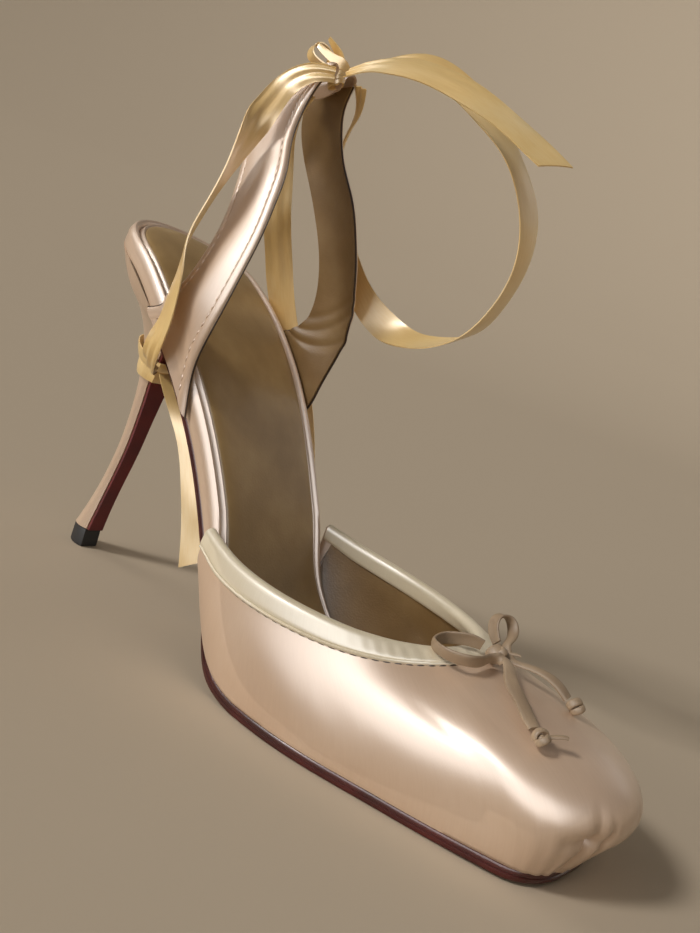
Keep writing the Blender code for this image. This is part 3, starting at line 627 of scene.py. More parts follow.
# Edge paint is an acrylic brushed on in coats; the top piece is moulded rubber, almost matt.
edge_paint = leather("dark_edge_paint", "#2a1a0e", "#352113", "#40291a", 0.4)
heel_rubber = leather("black_heel_rubber", "#131110", "#1a1817", "#221f1d", 0.6,
                      grain_mm=0.3, grain=0.03)
print("leathers: grain 0.6 mm, and 0.45 mm on the bow's lace")


# %% [markdown]
# ## The sole
# The outsole is 3 mm leather cut to the last's outline. It tucks in under the arch and
# stands a little proud of the vamp at the front, and a fine groove is run round its edge by a
# hot wheel. A cut-out outline could be extruded and bent, but it has to follow the footbed's
# curve exactly, so it is built of rings that run round it from the heel's breast to the toe.
# %% Layers that follow the last
STATIONS = 150          # along a layer
ACROSS = 14             # over its top and underneath
VAMP_REAR = 82.5        # where the vamp's lower edge starts
VAMP_PROUD = 2.25       # the vamp's lower edge, out from the footbed's
SOLE_PROUD = 2.5        # the sole's edge under the vamp,
SOLE_TUCK = -0.9        # behind it,
TOE_TUCK = 1.5          # and how much less it stands out at the toe's tip
WAIST_SOLE = 2.2        # its thickness under the arch
FOREPART_BOARD = 2.6    # the footbed inside the vamp
RAND = 5.6              # and with its rolled satin edge behind it
BREAST_AT = 40.0        # the heel's front, where the sole starts


def blend(rear, front, start, length, a):
    """One value behind the vamp's rear end and another in front of it."""
    return rear + (front - rear) * ease(VAMP_REAR + start, VAMP_REAR + start + length, a)


def sole_grow(inset):
    """How far the sole's edge stands out from the footbed's, less an inset."""
    return lambda a: (blend(SOLE_TUCK, SOLE_PROUD, 2, 22, a) - inset
                      - TOE_TUCK * ease(LENGTH - 9, LENGTH - 1, a))


def sole_depth(share):
    """Down the sole's edge, from its top at 0 to its face at 1."""
    return lambda a: -share * blend(WAIST_SOLE, SOLE, 2, 20, a)


def board_height(share):
    """Up the footbed's side, whose rolled edge is thick behind the vamp."""
    return lambda a: GAP + share * blend(RAND, FOREPART_BOARD, -8, 14, a)


def layer(name, profile, crown=0.0, start=0.0):
    """A layer over the last. Its profile runs up one edge as (grow, height) functions of
    along; the top is crowned between the two edges."""
    alongs = round_trip(STATIONS, start)
    sides = []
    for side in (-1, 1):
        edges = [(edge_line(side, alongs, grow(alongs)), height(alongs))
                 for grow, height in profile]
        sides.append(np.stack([on_last(edge[:, 0], edge[:, 1], height)
                               for edge, height in edges], axis=1))
    t = np.linspace(0, 1, ACROSS + 1)[None, 1:-1, None]
    outer, inner = sides
    top = outer[:, -1:] + (inner[:, -1:] - outer[:, -1:]) * t
    top = top + 4 * crown * t * (1 - t) * np.array((0, 0, 1.0))
    under = inner[:, :1] + (outer[:, :1] - inner[:, :1]) * t
    rings = np.concatenate([outer, top, inner[:, ::-1], under], axis=1)
    return tube(name, rings)


# %% Outsole with its grooved edge
# The profile of its edge, from its face up: how far in from the widest, and how deep, as a
# share of the sole's thickness.
SOLE_EDGE = ((0.55, 1.0), (0.12, 0.93), (0.0, 0.80), (0.0, 0.60), (0.28, 0.53),
             (0.28, 0.47), (0.0, 0.40), (0.0, 0.20), (0.15, 0.07), (0.5, 0.0))
SOLE_START = BREAST_AT + 0.4
outsole = layer("outsole_leather",
                [(sole_grow(inset), sole_depth(share)) for inset, share in SOLE_EDGE],
                start=SOLE_START)
dress(outsole, sole_leather, "sole_leather", "outsole")
print("outsole:", triangles(outsole), "triangles")


# %% [markdown]
# ## The footbed
# The board is wrapped in the same satin, pulled over a soft cord that makes the rolled rim.
# Inside the rim runs a groove, then a thinner roll that is the edge of the sock's padding.
# Two bevels would round it, but not give the groove between two rolls, so the whole rim is
# one profile of steps inwards and up, drawn round the footbed.
# %% Footbed wrapped in satin
# From the board's underside up and in: out from the footbed's edge, and the share of height.
RIM = ((-0.45, 0.0), (-0.12, 0.08), (0.0, 0.2), (0.05, 0.42), (0.25, 0.62), (0.1, 0.82),
       (-0.25, 0.97), (-0.75, 1.07), (-1.3, 1.08), (-1.85, 1.01), (-2.2, 0.88), (-2.45, 0.82),
       (-2.75, 0.88), (-3.05, 1.02), (-3.4, 1.08), (-3.8, 1.05), (-4.1, 0.98))


def rim_grow(grow):
    """The rim narrows inside the vamp, where the board is thin and hidden."""
    return lambda a: grow * blend(1.0, 0.45, -2, 12, a)


footbed = layer("footbed_satin",
                [(rim_grow(grow), board_height(share)) for grow, share in RIM])
dress(footbed, peach_satin, "satin", "footbed")
print("footbed:", triangles(footbed), "triangles")


# %% [markdown]
# ## The sock
# The sock is the leather that the foot lies on, with thin foam under it, so it swells a
# little between its edges. It could be puffed up by a cloth simulation; so thin a pad holds
# its shape, and a rounded edge with a low crown says the same.
# %% Padded sock
SOCK_INSET = 4.2        # in from the footbed's edge, at the seat,
SOCK_INSET_VAMP = 2.0   # and inside the vamp
SOCK_CROWN = 0.35
# From under its edge up and in: how far in, and how far above the footbed's top.
SOCK_EDGE = ((0.2, -0.6), (0.0, -0.1), (0.15, 0.25), (0.6, 0.5), (1.6, 0.75), (3.4, 0.95))


def sock_grow(inset):
    """The sock's edge from the footbed's, and a little farther in."""
    return lambda a: -blend(SOCK_INSET - 0.3, SOCK_INSET_VAMP, -2, 12, a) - inset


def sock_height(up):
    """A height above the footbed's top."""
    return lambda a: board_height(1.0)(a) + up


sock = layer("sock_padding", [(sock_grow(inset), sock_height(up)) for inset, up in SOCK_EDGE],
             crown=SOCK_CROWN)
dress(sock, sock_leather, "sock_leather", "sock_lining")
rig.padded(sock, 0.3)
print("sock:", triangles(sock), "triangles")


# %% [markdown]
# ## The vamp
# The vamp is the closed satin upper, pulled over the last from the sole's edge to the topline.
# A plane could be shrink-wrapped on a sculpted last. Here each column of the surface is a
# smooth curve up from the lower edge, and how full it stands is a share of its own length, so
# the square toe box, the flat roof and the upright sides come from one short table. The toe
# is lasted as on a ballet shoe: the satin is gathered into pleats under the box.
# %% The vamp's surface
# Half of the topline, from the rear to the throat, as shares of the last's three sizes.
Topline = namedtuple("Topline", "along across height")
TOPLINE = (
    Topline(0.426, 0.414, 1.017),
    Topline(0.488, 0.473, 0.961),
    Topline(0.550, 0.500, 0.933),
    Topline(0.632, 0.473, 0.921),
    Topline(0.702, 0.378, 0.927),
    Topline(0.748, 0.248, 0.949),
    Topline(0.774, 0.122, 0.978),
    Topline(0.782, 0.000, 1.000),
)
INNER_LIFT = 2.0        # how much higher the inner side's topline is
# How full a column stands, by its place from the rear to the toe: how far its curve sets out
# and up at the lower edge, and out and down at the topline, as shares of its chord.
Fullness = namedtuple("Fullness", "share out_low up_low out_high down_high")
FULLNESS = (
    Fullness(0.00, 0.10, 0.33, 0.03, 0.33),
    Fullness(0.30, 0.10, 0.36, 0.05, 0.33),
    Fullness(0.55, 0.09, 0.38, 0.13, 0.30),
    Fullness(0.75, 0.13, 0.42, 0.33, 0.22),
    Fullness(0.90, 0.28, 0.45, 0.53, 0.11),
    Fullness(1.00, 0.42, 0.46, 0.62, 0.06),
)
RUN_DOWN = 3.0          # how much it leaves the topline towards the lower edge, not square to it
VAMP_COLUMNS = 340
VAMP_ROWS = 72
EDGE_POINTS = 400       # fine points on half of the lower edge,
TOPLINE_POINTS = 300    # and on half of the topline, before they are spaced evenly
UPPER = 1.6             # the whole wall: satin, stiffener and lining


def both_sides(half_line):
    """The outer half, then the inner half backwards, sharing the point in the middle."""
    outer, inner = half_line(-1), half_line(1)
    return np.concatenate([outer, inner[-2::-1]])


def feather_half(side):
    """The vamp's lower edge on one side, from the rear to the toe."""
    start = math.acos(1 - 2 * VAMP_REAR / LENGTH) / math.pi
    alongs = LENGTH * (1 - np.cos(math.pi * np.linspace(start, 1, EDGE_POINTS))) / 2
    alongs[-1] = LENGTH
    edge = edge_line(side, alongs, VAMP_PROUD)
    return even_steps(on_last(edge[:, 0], edge[:, 1], GAP), VAMP_COLUMNS // 2)


def topline_half(side):
    """The topline on one side, from the rear to the throat."""
    across = [share * BALL_WIDTH for share in column(TOPLINE, "across")]
    lift = INNER_LIFT * (side > 0)
    rows = np.stack([[share * LENGTH for share in column(TOPLINE, "along")],
                     [side * y for y in across],
                     [share * INSTEP_HEIGHT + lift * min(1, y / 12)
                      for share, y in zip(column(TOPLINE, "height"), across)]], -1)
    whole = np.concatenate([rows, rows[-2::-1] * (1, -1, 1)])
    run = run_of(whole)
    fine = np.linspace(0, run[len(rows) - 1], TOPLINE_POINTS)
    return even_steps(np.stack([spline(run, whole[:, k])(fine) for k in range(3)], -1),
                      VAMP_COLUMNS // 2)


def outward(line):
    """The direction away from the foot, seen from above, along a line round the vamp."""
    run = np.gradient(line, axis=0)
    return unit(np.stack([run[:, 1], -run[:, 0], 0 * run[:, 0]], -1))


def mirrored(values, sign=1):
    """Values up to the middle, then the same backwards."""
    values = np.array(values, float)
    return np.concatenate([values, sign * values[-2::-1]])


def vamp_surface():
    """The vamp's outside as points[column, row], from its lower edge to the topline."""
    low, high = both_sides(feather_half), both_sides(topline_half)
    out_low, out_high = outward(low), outward(high)
    place = np.linspace(-1, 1, len(low))
    knots = mirrored(np.array(column(FULLNESS, "share")) - 1, -1)
    chord = np.linalg.norm(high - low, axis=1, keepdims=True)
    full = {name: spline(knots, mirrored(column(FULLNESS, name)))(place)[:, None]
            for name in Fullness._fields[1:]}
    first = low + chord * (full["out_low"] * out_low + full["up_low"] * (0, 0, 1))
    fall = unit(out_high + RUN_DOWN * (low - high) / chord * (1, 1, 0))
    second = high + chord * (full["out_high"] * fall - full["down_high"] * np.array([0, 0, 1.0]))
    t = np.linspace(0, 1, VAMP_ROWS + 1)[None, :, None]
    low, first, second, high = (line[:, None, :] for line in (low, first, second, high))
    return ((1 - t)**3 * low + 3 * (1 - t)**2 * t * first
            + 3 * (1 - t) * t**2 * second + t**3 * high)


vamp = vamp_surface()
vamp_out = normals_of(vamp)
if vamp_out[VAMP_COLUMNS // 2, 1, 0] < 0:
    vamp_out = -vamp_out
up_run = np.concatenate([np.zeros((len(vamp), 1)),
                         np.linalg.norm(np.diff(vamp, axis=1), axis=2).cumsum(axis=1)], axis=1)
girth = run_of(vamp[:, 0])
girth = girth - girth[VAMP_COLUMNS // 2]
print("vamp: girth %.0f mm, %.0f mm up the toe" % (2 * girth[-1], up_run[VAMP_COLUMNS // 2, -1]))


# %% [markdown]
# ### Pleats and creases
# Satin doesn't stretch, so where it is pulled under the toe box it gathers into pleats, and
# the finished upper keeps a few soft creases. A cloth simulation would scatter them; real
# ones are laid by hand, so each is placed one by one here too. A crease is a soft trough
# between two places: round the vamp from the middle of the toe, and up from the sole, in
# millimetres, with its half width and its depth. A negative depth is a ridge.
# %% Pleats and creases
Crease = namedtuple("Crease", "round_1 up_1 round_2 up_2 half deep")
CREASES = (
    Crease(-26.0, 24.0, -36.0, 30.0, 3.4, 0.16),
    Crease(-21.5, 22.5, -30.0, 28.5, 3.0, -0.10),
    Crease(-60.0, 12.0, -74.0, 15.0, 7.0, 0.18),
    Crease(-86.0, 6.0, -100.0, 13.0, 4.5, 0.22),
    Crease(52.0, 20.0, 70.0, 14.0, 4.5, 0.25),
    Crease(26.0, 24.0, 36.0, 30.0, 2.4, 0.22),
    Crease(80.0, 8.0, 96.0, 14.0, 4.5, 0.25),
    Crease(-14.0, 10.8, -7.8, 12.8, 2.0, 1.8),
    Crease(-10.0, 6.0, 12.0, 7.0, 6.5, 1.3),
    Crease(8.0, 12.0, 16.0, 14.0, 3.0, 0.6),
    Crease(-24.0, 7.0, -34.0, 9.0, 4.0, 0.25),
)
PLEAT_APART = 3.6       # between pleats round the toe
PLEAT_MIDDLE = -5.0     # the deepest are a little to the outer side
PLEAT_SPAN = 8.5        # how far they reach to each side of there
PLEAT_DEEP = 2.0
PLEAT_FAINT = 0.35      # the rest, round the whole toe
PLEAT_HIGH = 19.0


def crease_depth(crease, x, y):
    """How far a crease sinks the surface at a place round and up the vamp."""
    run = np.array([crease.round_2 - crease.round_1, crease.up_2 - crease.up_1])
    t = np.clip(((x - crease.round_1) * run[0] + (y - crease.up_1) * run[1]) / run.dot(run), 0, 1)
    off = np.hypot(x - crease.round_1 - t * run[0], y - crease.up_1 - t * run[1])
    taper = 0.35 + 0.65 * np.sin(math.pi * np.clip(t, 0.08, 0.92))
    return crease.deep * taper * np.exp(-(off / crease.half)**2)


def pleat_depth(x, y):
    """Gathers under the toe box: sharp valleys between round folds, uneven as by hand."""
    uneven = x + 0.9 * np.sin(x * 0.37 + 1.0) + 0.5 * np.sin(x * 0.83)
    valley = 1 - np.abs(np.sin(math.pi * uneven / PLEAT_APART))**0.7
    tall = PLEAT_HIGH * (1 + 0.35 * np.sin(x * 0.61 + 0.5))
    deep = (PLEAT_DEEP * np.exp(-((x - PLEAT_MIDDLE) / PLEAT_SPAN)**4)
            + PLEAT_FAINT * np.exp(-(x / (3 * PLEAT_SPAN))**4))
    return deep * valley * (1 - ease(0.3, 1.0, y / tall))


around = np.repeat(girth[:, None], VAMP_ROWS + 1, axis=1)
sink = pleat_depth(around, up_run) + sum(crease_depth(c, around, up_run) for c in CREASES)
satin_face = vamp - sink[..., None] * vamp_out
print("pleats: up to %.1f mm deep" % sink.max())


# %% Satin, lining and the lower edge
SATIN_THICK = 0.7
LINING_THICK = 0.5
TUCK_IN, TUCK_DOWN = 1.6, 0.25      # how the satin turns under at the sole
LINING_CLEAR = 0.3                  # the lining's middle, short of the wall's inside
LINING_START = 3                    # columns and rows short of the rear and the sole
LINING_EVERY = 4, 3                 # it takes every fourth column and third row
tuck_in = vamp[:, :1] - TUCK_IN * vamp_out[:, :1] * (1, 1, 0) - (0, 0, TUCK_DOWN)
face = np.concatenate([tuck_in, satin_face], axis=1)


def folded_end(grid, normals, turn=0.6, back=3.0):
    """Extra columns that take a sheet round its rear edge and a little way forward inside."""
    rear = unit(grid[0] - grid[2])
    spots = [(-back, -2 * turn), (-back / 2, -2 * turn)]
    spots += [(turn * math.sin(a), turn * (math.cos(a) - 1))
              for a in np.radians((165, 120, 75, 35))]
    return np.array([grid[0] + go * rear + away * normals[0] for go, away in spots])


face_out = np.concatenate([vamp_out[:, :1], vamp_out], axis=1)
face = np.concatenate([folded_end(face, face_out), face,
                       folded_end(face[::-1], face_out[::-1])[::-1]])
vamp_skin = sheet("vamp_satin", face.swapaxes(0, 1), SATIN_THICK, angle=60)
dress(vamp_skin, peach_satin, "satin", "vamp")

inside = (satin_face - (UPPER - LINING_CLEAR) * vamp_out)[
    LINING_START:-LINING_START:LINING_EVERY[0], LINING_START::LINING_EVERY[1]]
vamp_lining = sheet("vamp_lining", inside.swapaxes(0, 1), LINING_THICK)
dress(vamp_lining, lining_leather, "sock_leather")
print("vamp:", triangles(vamp_skin), "and", triangles(vamp_lining), "triangles")


# %% [markdown]
# ## The topline binding
# The topline is bound with a bias strip of cream satin. It is sewn on inside, rolled over the
# edge and stitched down outside with its raw edge turned under. A bevelled curve along the
# topline would be quick, but its section couldn't turn with the wall. So the strip's profile
# is written once, as distances below the topline and out from the wall, and is drawn along
# every column. Bias satin puckers where it turns the tight curve of the throat.
# %% Binding round the topline
BINDING = ((9.35, 0.30), (9.75, 0.50), (9.70, 0.80), (9.30, 0.95), (8.95, 0.82), (8.60, 0.60),
           (8.25, 0.82), (7.60, 0.96), (6.50, 1.00), (5.00, 1.02), (3.50, 1.00), (2.00, 1.00),
           (1.00, 0.95), (0.30, 0.85), (-0.35, 0.55), (-0.75, 0.00), (-0.90, -0.65),
           (-0.75, -1.30), (-0.35, -1.85), (0.30, -2.15), (1.50, -2.20), (3.50, -2.20),
           (5.60, -2.20), (7.00, -2.15), (7.40, -1.90))
BINDING_SHARE = 0.58    # how much of that profile's depth this binding takes
# The stitches there are dark and also paint the shade line under the binding's edge.
SEAM_BELOW = 10.1       # the dark seam just under its edge, in the profile's depth
BINDING_THICK = 0.45
PUCKER_APART, PUCKER_DEEP, PUCKER_SPAN = 3.2, 0.15, 26.0
END_NARROWS, END_RUN = 0.16, 12     # the strip is that much narrower at its rear ends
OUTSIDE = 9             # how far down the profile a pucker reaches

rim_up = unit(vamp[:, -1] - vamp[:, -4])
rim_run = run_of(vamp[:, -1])
from_end = np.minimum(rim_run, rim_run[-1] - rim_run)
binding_wide = BINDING_SHARE * (1 - END_NARROWS * (1 - ease(0, END_RUN, from_end)))


def on_wall(down, out):
    """A line round the vamp, down from the topline and out from the satin's middle."""
    rows = []
    for j, (far, away) in enumerate(zip(down * binding_wide * (down > 0), out)):
        at = up_run[j, -1] - far
        place, normal = (np.array([np.interp(at, up_run[j], grid[j, :, k]) for k in range(3)])
                         for grid in (vamp, vamp_out))
        rows.append(place + away * unit(normal) + max(-down, 0.0) * rim_up[j])
    return np.array(rows)


pucker = (PUCKER_DEEP * np.sin(2 * math.pi * rim_run / PUCKER_APART
                               + 0.8 * np.sin(rim_run * 0.31))
          * np.exp(-((rim_run - rim_run[-1] / 2) / PUCKER_SPAN)**2))
bound = np.array([
    on_wall(down, out + pucker * math.sin(math.pi * min(max(down, 0), OUTSIDE) / OUTSIDE))
    for down, out in BINDING])
binding = sheet("topline_binding", bound, BINDING_THICK, angle=60)
dress(binding, cream_satin, "satin")
print("binding: %.0f mm round, %d triangles" % (rim_run[-1], triangles(binding)))


# %% [markdown]
# ### Stitches
# A machine stitch dips into the cloth at both ends. Each could be a short capsule, copied
# along the seam; one tube that swells at each stitch and sinks between them is a single
# closed piece and follows any line.
# %% Stitches
STITCH, STITCH_APART, THREAD = 2.0, 2.7, 0.2
STITCH_STEPS = 9        # rings to a stitch
STITCH_SINKS, STITCH_RISES = 0.28, 0.30
THREAD_THIN = 0.3       # between two stitches, as a share of the thread


def stitches(name, line, out):
    """Thread along a line, thick where a stitch shows and sunk in the cloth between."""
    run = run_of(line)
    count = int(run[-1] / STITCH_APART)
    at = np.linspace(0, count * STITCH_APART, count * STITCH_STEPS + 1)
    swell = np.sqrt(np.sin(math.pi * np.clip((at % STITCH_APART) / STITCH, 0, 1)))
    middle, away = (np.stack([np.interp(at, run, v[:, k]) for k in range(3)], -1)
                    for v in (line, out))
    away = unit(away)
    beside = unit(np.cross(np.gradient(middle, axis=0), away))
    middle = middle + (STITCH_RISES * swell - STITCH_SINKS)[:, None] * away
    turn = np.linspace(0, 2 * math.pi, 7)[:-1, None]
    spoke = np.cos(turn) * away[:, None] + np.sin(turn) * beside[:, None]
    thick = THREAD * (THREAD_THIN + (1 - THREAD_THIN) * swell)
    return tube(name, middle[:, None] + thick[:, None, None] * spoke)


SEAM_OUT = 0.45         # the satin's face, out from the middle of its thickness
stitch_line = on_wall(SEAM_BELOW, SEAM_OUT + 0 * rim_run)
binding_stitches = stitches("binding_stitches", stitch_line,
                            stitch_line - on_wall(SEAM_BELOW, 0 * rim_run))
# The thread takes the dark edge paint. It draws the stitch line under the binding's edge,
# and its darkness is partly painted shade: the shade line along the crease under that edge.
dress(binding_stitches, edge_paint, "sock_leather")
print("stitches:", triangles(binding_stitches), "triangles")


# %% [markdown]
# ## The heel
# A moulded plastic heel is covered in the satin, glued at the back and turned in at the
# front, where a flap of the outsole's leather runs down the flat breast. A rubber top piece
# is pinned under the tip. A cylinder could be scaled slice by slice to the same shape; the
# slices are written down instead, from the tip to the seat, so that the last one can take the
# footbed's own outline.
# %% Heel slices
TOP_PIECE = 6.0         # height of the rubber under the tip
COVER = 0.9             # thickness of the breast's leather
HEEL_ROUND = 72         # points round a slice
HEEL_STEPS = 80         # rings from the tip to the seat
BREAST_SHARE = 0.80     # the flat breast's width, as a share of the slice's
SEAT_SHARE = 0.995      # the heel's top, as a share of the seat's width
SEAT_INSET = 0.2        # and how far its back stays inside the seat's
# Where a slice's back and breast are, along and above the floor, its half width, and how much
# of its shape is the seat's outline.
Slice = namedtuple("Slice", "back back_up breast breast_up half seat")
HEEL = (
    Slice(3.6, TOP_PIECE + GAP, 11.9, TOP_PIECE + GAP, 3.9, 0.0),
    Slice(6.8, 14.0, 13.2, 14.0, 3.5, 0.0),
    Slice(10.0, 24.0, 15.2, 24.0, 3.3, 0.0),
    Slice(12.5, 36.0, 17.6, 36.0, 3.5, 0.0),
    Slice(13.4, 46.0, 18.8, 46.0, 3.9, 0.0),
    Slice(13.5, 55.0, 19.7, 54.5, 4.6, 0.0),
    Slice(13.0, 63.0, 20.8, 61.0, 5.8, 0.02),
    Slice(11.7, 72.0, 24.3, 67.0, 8.6, 0.10),
    Slice(9.6, 81.0, 29.0, 72.0, 13.0, 0.35),
    Slice(6.6, 89.5, 33.8, 75.8, 18.5, 0.65),
    Slice(3.0, 96.3, 37.8, 78.4, 23.2, 0.90),
)


def through(rows, steps):
    """A fine smooth grid through a few rows of points."""
    flat = np.array(rows).reshape(len(rows), -1)
    fine = np.linspace(0, len(rows) - 1, steps + 1)
    made = np.stack([spline(range(len(rows)), flat[:, k])(fine)
                     for k in range(flat.shape[1])], -1)
    return made.reshape(steps + 1, *np.shape(rows)[1:])


def heel_ring(row):
    """A slice: a D with its flat side to the front, drawn towards the seat's outline."""
    q = np.linspace(0, 1, HEEL_ROUND + 1)
    back = np.sin(math.pi * q)
    along = row.breast - (row.breast - row.back) * back
    full = BREAST_SHARE + (1 - BREAST_SHARE) * np.sin(math.pi * np.clip(back, 0, 0.5))
    stiletto = -np.cos(math.pi * q) * full
    seat_along = BREAST_AT * (1 - back)
    seat = np.where(q < 0.5, -half_width(-1, seat_along), half_width(1, seat_along))
    across = row.half * ((1 - row.seat) * stiletto + row.seat * seat / np.abs(seat).max())
    height = row.breast_up + (row.back_up - row.breast_up) * back
    return np.stack([along, across, height], -1)


def seat_ring():
    """The heel's top, inside the footbed's outline."""
    q = np.linspace(0, 1, HEEL_ROUND + 1)
    along = BREAST_AT * (1 - np.sin(math.pi * q))
    across = np.where(q < 0.5, -half_width(-1, along), half_width(1, along))
    return on_last(along + SEAT_INSET * np.sin(math.pi * q), across * SEAT_SHARE, GAP)


heel = tube("heel_satin", through([heel_ring(row) for row in HEEL] + [seat_ring()],
                                  HEEL_STEPS))
dress(heel, peach_satin, "satin", "heel")
print("heel:", triangles(heel), "triangles")

# %% [markdown]
# ### The breast and the top piece
# The leather flap is cut a little narrower than the flat breast and bevelled at its edges by
# the knife; a Solidify and a Bevel modifier give that. The rubber top piece is trimmed to the
# heel's tip with a slight swell, so it is the tip's own slice at five heights.
# %% Breast flap and top piece
# Height above the floor, and the slice's size there as a share of the tip's.
TIP_FLARE = ((0.0, 0.95), (0.25, 1.0), (0.7, 1.02), (5.6, 1.0), (6.0, 0.975))
BREAST_WIDE = 0.96
BREAST_EDGE = 0.22      # width of the flap's bevelled edge
BREAST_ROWS, BREAST_COLUMNS = 70, 13
fronts = np.array([[row.breast, 0, row.breast_up] for row in HEEL])
halves = np.array([abs(heel_ring(row)[0, 1]) for row in HEEL])
climb = np.gradient(fronts, axis=0)
forward = unit(np.stack([climb[:, 2], 0 * climb[:, 0], -climb[:, 0]], -1))
t = np.linspace(-1, 1, BREAST_COLUMNS)[None, :, None]
breast = through((fronts + (GAP + COVER / 2) * forward)[:, None]
                 + t * halves[:, None, None] * (0, BREAST_WIDE, 0), BREAST_ROWS)
flap = grid_piece("heel_breast_flap", breast)
add_modifier(flap, "SOLIDIFY", thickness=COVER * MM, offset=0.0)
add_modifier(flap, "BEVEL", width=BREAST_EDGE * MM, segments=2, limit_method="ANGLE")
smooth(flap, 50)
dress(flap, breast_leather_brightened, "sole_leather", "heel_breast_cover")

tip = heel_ring(HEEL[0])
middle = tip.mean(axis=0) * (1, 0, 0)
top_piece = tube("top_piece_rubber",
                 np.array([(tip - middle) * (share, share, 0) + middle + (0, 0, height)
                           for height, share in TIP_FLARE]))
dress(top_piece, heel_rubber, "heel_rubber", "top_piece")
print("breast and top piece:", triangles(flap), "and", triangles(top_piece), "triangles")


# %% [markdown]
# ## The ankle tabs
# Each tab is satin backed with leather, with a dark painted edge between the two. The satin
# is folded over a soft cord along both edges, which makes a raised border with a stitched
# line inside it. At the top the satin rolls in where the ribbon ties the tabs together. One
# thick strap with three materials would be simpler, but its edge would show no layers, so
# each layer is a sheet of its own at its own depth.
# %% Tab surfaces
RAND_BULGE = 0.2        # how far the rolled rim stands out from the footbed's edge
TAB = 1.8               # satin and leather together
# Where a tab starts: its back and front edges along the footbed, and how much its front is
# drawn back at the rim.
TabRoot = namedtuple("TabRoot", "back front shortens")
TAB_ROOT = {-1: TabRoot(36.0, 60.0, 5.0), 1: TabRoot(34.0, 55.5, 1.0)}
# Rows from the rim to the tip: the back and front edges, along and above the floor, the
# distance from the middle, and how far the tab bows out between its edges.
TabRow = namedtuple("TabRow", "back back_up front front_up across bow")
TAB_ROWS = (
    TabRow(42.5, 89.5, 60.7, 78.5, 27.5, 0.6),
    TabRow(46.8, 94.0, 63.4, 90.0, 27.4, 0.9),
    TabRow(49.3, 102.5, 64.2, 101.0, 25.4, 1.1),
    TabRow(48.9, 113.0, 63.4, 113.0, 21.8, 1.2),
    TabRow(46.2, 122.5, 61.4, 123.0, 18.5, 1.2),
    TabRow(42.5, 131.5, 58.6, 132.0, 15.3, 1.1),
    TabRow(38.5, 140.0, 54.0, 140.5, 12.2, 1.0),
    TabRow(36.6, 147.8, 51.6, 148.8, 9.3, 0.7),
    TabRow(37.6, 153.6, 51.4, 155.4, 7.3, 0.4),
    TabRow(40.4, 158.4, 53.2, 161.6, 6.2, 0.2),
)
TAB_LOW = 1.2           # a tab's lower end above the outsole
TAB_SLACK = 0.2         # between a tab and the rim, beyond the gap
TAB_STEPS = 150
TAB_WIDE = 15.5         # its usual width, from which the border's places are worked out
TAB_BORDER = 2.1        # from its edge to the stitched line
TIP_REACH = {-1: 1.4, 1: 0.4}       # how far the satin goes on above the tip,
TIP_ROLL = {-1: 1.7, 1: 2.6}        # the radius that it rolls in with,
TIP_DROP = {-1: 1.6, 1: 4.2}        # and how far it comes down again inside
BORDER_STEPS = (0, 0.12, 0.3, 0.55, 0.85, 1.2, 1.55, 1.85, TAB_BORDER, 2.4, 2.8)
PLAIN_COLUMNS = 26      # across the tab between its two borders
# Folds across the inner tab near its root: where they start at its back edge, how much they
# climb to its front, their half width and their height.
TabFold = namedtuple("TabFold", "start climb half high")
TAB_FOLDS = (TabFold(7, 13, 1.5, 0.55), TabFold(13, 15, 1.8, 0.5), TabFold(20, 12, 1.6, 0.3))
TAB_DENT = 0.22         # how far the soft tab dents in and out along its length


def tab_middle(side, j):
    """The middle of a tab's thickness, from its root to its tip; j is 0 to 1 across."""
    root = TAB_ROOT[side]
    clear = RAND_BULGE + GAP + TAB / 2 + TAB_SLACK
    rows = []
    for back, front, out, height in ((root.back, root.front, 0.0, TAB_LOW),
                                     (root.back + 2, root.front - root.shortens,
                                      TAB_SLACK, RAND + 0.8)):
        at = back + (front - back) * j
        rows.append(on_last(at, side * (half_width(side, at) + clear + out), height))
    for row in TAB_ROWS:
        rows.append(np.stack([row.back + (row.front - row.back) * j,
                              side * (row.across + row.bow * np.sin(math.pi * j)),
                              row.back_up + (row.front_up - row.back_up) * j], -1))
    return through(rows, TAB_STEPS)


def tab_sag(side, j, run):
    """How the soft tab dents and, on the inner side, folds across near its root."""
    soft = TAB_DENT * np.sin(run * 0.16 + 2.2 * side) * np.sin(math.pi * np.clip(j, 0, 1))
    folds = sum(fold.high * np.exp(-((run - fold.start - fold.climb * j) / fold.half)**2)
                for fold in TAB_FOLDS)
    return soft + folds * (side > 0)


def tab_grid(side, j, depth):
    """A layer of a tab at a depth from the middle of its thickness, and its normals."""
    middle = tab_middle(side, j)
    out = normals_of(middle)
    out = out * np.sign(side * out[..., 1:2].mean())
    run = run_of(middle[:, len(j) // 2])[:, None]
    return middle + (depth + tab_sag(side, j[None], run))[..., None] * out, out


# %% [markdown]
# ### The tabs' layers
# The satin's grid is finest at the borders, where it has to turn over the cord and dip at the
# stitched line. Its last rows go on past the tip, roll in and come down again inside. The
# painted edge is a sheet a little wider than the satin, so that only its rim shows.
# %% Tab pieces
TAB_SATIN, TAB_SATIN_THICK = 0.55, 0.6      # depth from the tab's middle, and thickness
TAB_EDGE, TAB_EDGE_OUT = -0.12, 0.022       # depth, and how much wider than the satin
TAB_BACK, TAB_BACK_OUT = -0.6, 0.008
TAB_LAYER = 0.5
TAB_COLUMNS = 27
CORD_HIGH = 0.13        # how far the border's cord lifts the satin
EDGE_TURN = 0.60        # how far the satin turns down at its very edge,
EDGE_TURN_WIDE = 0.6    # and how wide that turn is
SEAM_DIP, SEAM_HALF = 0.10, 0.22    # the dip at the stitched line
THREAD_OUT = 0.42       # the thread, out from the middle of the satin
THREAD_FROM, THREAD_TO = 4, -2      # the rows between which the tab is stitched


